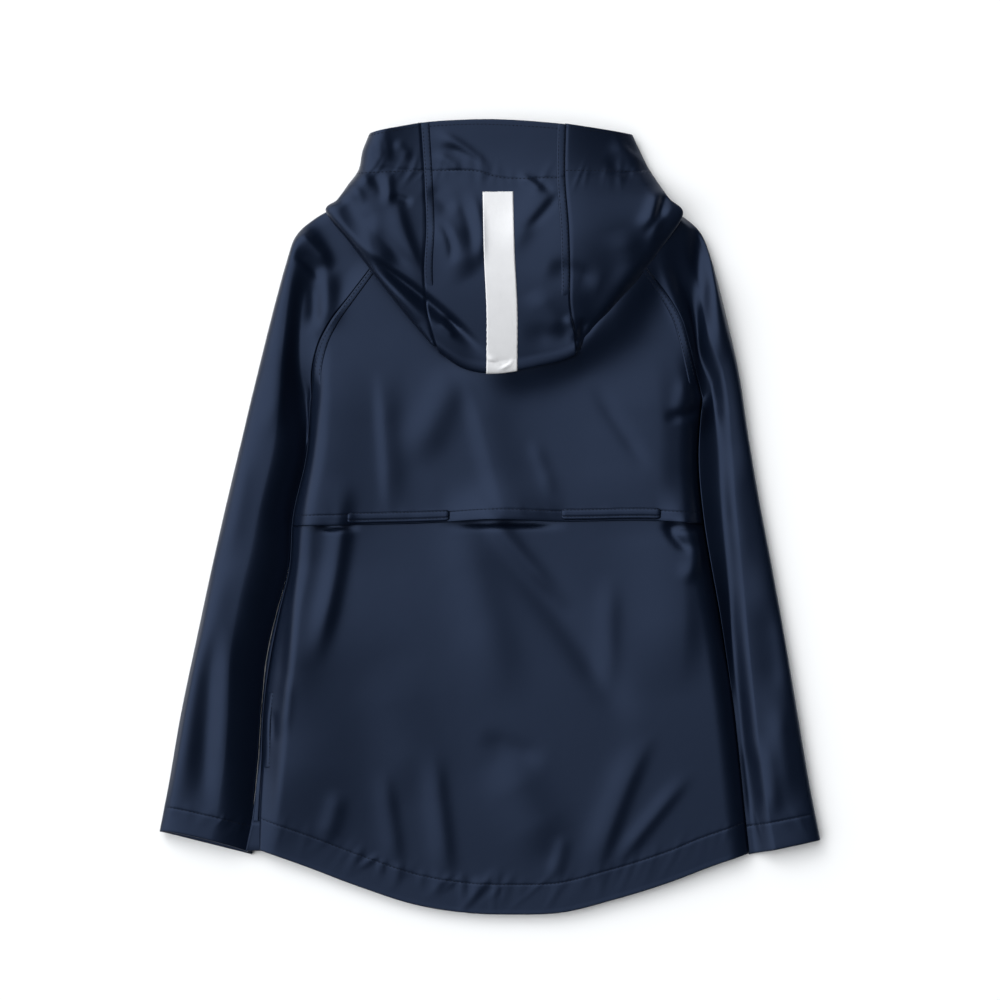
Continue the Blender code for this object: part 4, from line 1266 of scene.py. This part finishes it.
hood_grid = hood_middle_rows(spread(0.06, 5, 50))
hood_middle, middle_rows = hood_panel(
    "hood_middle_panel", "hood_middle", hood_grid,
    len(HOOD_RIM_SHARES) + HOOD_BAND_ROWS.index(0), np.arange(2.5, hood_grid.shape[1] - 3, 0.5),
)
hood_trims = [middle_rows]


def hood_side_section(side, row):
    """One section, from the middle panel's seam over the side fold and underneath to the neck."""
    under_z, neck_z = max(row["under_z"], 0.0), max(row["neck_z"], 0.0)
    seam_x = side_x(HOOD_SEAMS, side, row["seam_y"])
    top_z = hood_seam_top(side, row["seam_y"])
    start = np.array([seam_x - SIDES[side] * HOOD_OVERLAP, row["seam_y"]])
    edge = np.array([row["edge_x"], row["edge_y"]])
    neck = np.array([row["neck_x"], row["neck_y"]])
    width = float(np.linalg.norm(edge - start))
    run = min(HOOD_FOLD_RUN + 0.25 * (top_z - under_z), 0.95 * width)
    near = top_z - HOOD_FALL[side] * (top_z - under_z)
    fold_z = (near + under_z) / 2
    level = np.linspace(0, 1 - run / width, 46)
    turned = 1 - run / width * (1 - np.cos(np.radians(np.linspace(84, 0, 15))))
    share = np.concatenate([level, turned])
    flat_z = top_z - (top_z - near) * share**1.3
    upper = start + (edge - start) * share[:, None]
    round_off = rounded((1 - share) * width, run)
    relief = hood_creases(*upper.T) * ease(0, 0.6, round_off)
    tucked = HOOD_SEAM_DIP * (1 - ease(0, 3.0, share * width))
    upper_z = fold_z + (flat_z - fold_z) * round_off + relief - tucked
    reach = float(np.linalg.norm(neck - edge))
    lower_run = min(run, 0.7 * reach)
    near_share = lower_run / reach * (1 - np.cos(np.radians(np.linspace(8, 90, 10))))
    lower_share = np.concatenate([near_share, np.linspace(near_share[-1], 1, 18)[1:]])
    floor_z = under_z + (neck_z - under_z) * lower_share
    lower_z = fold_z + (floor_z - fold_z) * rounded(lower_share * reach, lower_run)
    lower = edge + (neck - edge) * lower_share[:, None]
    return np.concatenate([np.column_stack([upper, upper_z]), np.column_stack([lower, lower_z])])


def hood_side_grid(side):
    """The sections of a side panel, closer together at its band, and the row of the band's stitches."""
    names = HOOD_SIDE_COLUMNS + HOOD_UNDER_COLUMNS
    table = np.array([outline + under for outline, under in zip(HOOD_SIDES[side], HOOD_UNDER)], float).T
    key = np.arange(table.shape[1])
    band_key = float(np.interp(-HOOD_BAND_Y, -table[0], key))
    keys = np.concatenate([
        np.linspace(0, 0.14, 4),
        np.linspace(0.2, band_key - 0.16, 15),
        band_key + np.array([-0.1, -0.055, -0.025, 0, 0.025, 0.055, 0.1]),
        np.linspace(band_key + 0.16, key[-1], 92),
    ])
    sections = []
    for k in keys:
        row = {name: float(through(key, column, k)) for name, column in zip(names, table)}
        sections.append(hood_side_section(side, row))
    return np.stack(sections), int(np.argmin(np.abs(keys - band_key)))


for side, area in (("left", 0.0255), ("right", 0.0285)):
    grid, side_band_row = hood_side_grid(side)
    crown = np.arange(2.0, 58, 0.5)
    piece, rows = hood_panel(f"hood_side_panel_{side}", f"hood_{side}", grid, side_band_row, crown)

# The two crown seams are felled towards the middle panel.
for side in SIDES:
    seam_column = 0 if side == "left" else -1
    foot = int(np.argmin(np.abs(hood_grid[:HOOD_UPPER_ROWS, seam_column, 1] - HOOD_FELL_FOOT[side])))
    rows = np.arange(foot)
    hood_trims += felled(f"hood_fell_{side}", f"hood_welt_{side}", hood_grid, side, rows, 0.0, 3.9)

# ---- Reflective tape -------------------------------------------------------------------------
# A strip of pale grey retroreflective tape down the middle of the hood, round its lower fold. It
# is heat-bonded, with fine glass beads in its face, and creased where the hood turns over.

TAPE_WIDTH = 24.5
TAPE_TOP_Y = 259.0
TAPE_MIDDLE = {"y": [113, 162, 210, 259], "x": [9.5, 9.7, 7.5, 6.4]}
TAPE_WALL = 0.35
TAPE_LIFT = 0.62
TAPE_FOLD_ROW = 96  # rows of the middle panel where the tape turns under, and where it ends
TAPE_LAST_ROW = 113
TAPE_COLUMN = 27  # column of the middle panel that runs under the tape
TAPE_CREASES = [
    (-4, 128, 10, 119, 1, 0.9, 2.0, 1.2),
    (6, 117, 20, 127, -1, 0.8, 1.4, 2.2),
    (-3, 122, 22, 123, 1, -0.6, 2.0, 2.0),
]

reflective_grey, shader, where = new_finish("reflective tape")
beads = where.noise(2600.0, 2.0)
rub = where.noise(130.0, 4.0)
feed(shader, "Base Color", (beads * 0.4 + rub * 0.6).blend((0.58, 0.58, 0.59), (0.66, 0.66, 0.67)))
feed(shader, "Roughness", beads * 0.25 + 0.30)
feed(shader, "Normal", (beads * 0.03 + rub * 0.12).bump())
shader.inputs["Metallic"].default_value = 0.15

upper_y = hood_grid[:HOOD_UPPER_ROWS, :, 1]
first = int(np.argmin(np.abs(upper_y[:, TAPE_COLUMN] - TAPE_TOP_Y)))
tape_rows = np.concatenate([
    np.arange(first, TAPE_FOLD_ROW, 0.7),
    np.arange(TAPE_FOLD_ROW, TAPE_LAST_ROW, 0.5),
])
lengthwise = hood_grid[np.round(tape_rows).astype(int)]
middle_x = through(TAPE_MIDDLE["y"], TAPE_MIDDLE["x"], lengthwise[:, TAPE_COLUMN, 1])
strip = []
for offset in np.linspace(-TAPE_WIDTH / 2, TAPE_WIDTH / 2, 23):
    columns = [np.interp(x + offset, row[:, 0], np.arange(len(row))) for x, row in zip(middle_x, lengthwise)]
    top_row = np.interp(-TAPE_TOP_Y, -upper_y[:, int(columns[0])], np.arange(HOOD_UPPER_ROWS))
    square = tape_rows + (top_row - first) * (1 - ease(0, 25, tape_rows - first))  # its top is cut square
    strip.append(line_on(hood_grid, square, columns, TAPE_LIFT)[0])
tape_grid = np.stack(strip, axis=1)
tape_grid[..., 2] += np.maximum(folds(tape_grid[..., 0], tape_grid[..., 1], TAPE_CREASES), -0.1)
tape = cloth("reflective_strip", tape_grid, reflective_grey, TAPE_WALL)
place(tape, "reflective_tape")

# ---- Stage -----------------------------------------------------------------------------------
# The coat lies on a plain white floor, just under its lowest cloth. A soft key light stands at the
# upper left, in a pale room that darkens to the right and below, and the camera is straight above.

FLOOR_HALF = 4000.0
FLOOR_Z = -0.4
KEY_PLACE = Vector((-2.10, 2.80, 2.60))
KEY_SIZE = 1.8
KEY_WATTS = 36
VIEW_WIDTH = 0.8  # of the surface, in metres
VIEW_CENTRE = (0.0081, 0.0144)
LENS = 150.0

paper, shader, where = new_finish("white paper")
feed(shader, "Base Color", where.noise(3.0, 2.0).blend((0.90, 0.90, 0.90), (0.92, 0.92, 0.92)))
shader.inputs["Roughness"].default_value = 0.9
corners = [(x * FLOOR_HALF, y * FLOOR_HALF, FLOOR_Z) for x, y in ((-1, -1), (1, -1), (1, 1), (-1, 1))]
smooth_mesh("floor", corners, [(0, 1, 2, 3)], paper)

key = bpy.data.lights.new("key", "AREA")
key.shape = "DISK"
key.size = KEY_SIZE
key.energy = KEY_WATTS
key_light = add_object("key", key)
key_light.location = KEY_PLACE
key_light.rotation_euler = (-KEY_PLACE).to_track_quat("-Z", "Y").to_euler()
key_light.visible_glossy = False

world = bpy.data.worlds.new("studio")
world.use_nodes = True
room = world.node_tree
background = room.nodes["Background"]
toward = Shade(room, room.nodes.new("ShaderNodeTexCoord").outputs["Generated"])
to_right, to_hood, height = (toward.node("ShaderNodeSeparateXYZ", {}, {0: toward}, k) for k in range(3))
facing = height * 0.70 + to_hood * 0.38 - to_right * 0.60
reach = {"Value": facing, "From Min": 0.36, "From Max": 0.94, "To Min": 0.02, "To Max": 2.7}
feed(background, "Strength", facing.node("ShaderNodeMapRange", {"interpolation_type": "SMOOTHSTEP"}, reach))
background.inputs["Color"].default_value = (0.96, 0.98, 1.0, 1)
bpy.context.scene.world = world

camera_data = bpy.data.cameras.new("camera")
camera_data.lens = LENS
camera_data.clip_end = 20
camera = add_object("camera", camera_data)
camera.location = (*VIEW_CENTRE, VIEW_WIDTH * LENS / camera_data.sensor_width)
bpy.context.scene.camera = camera
bpy.context.scene.view_settings.view_transform = "Standard"
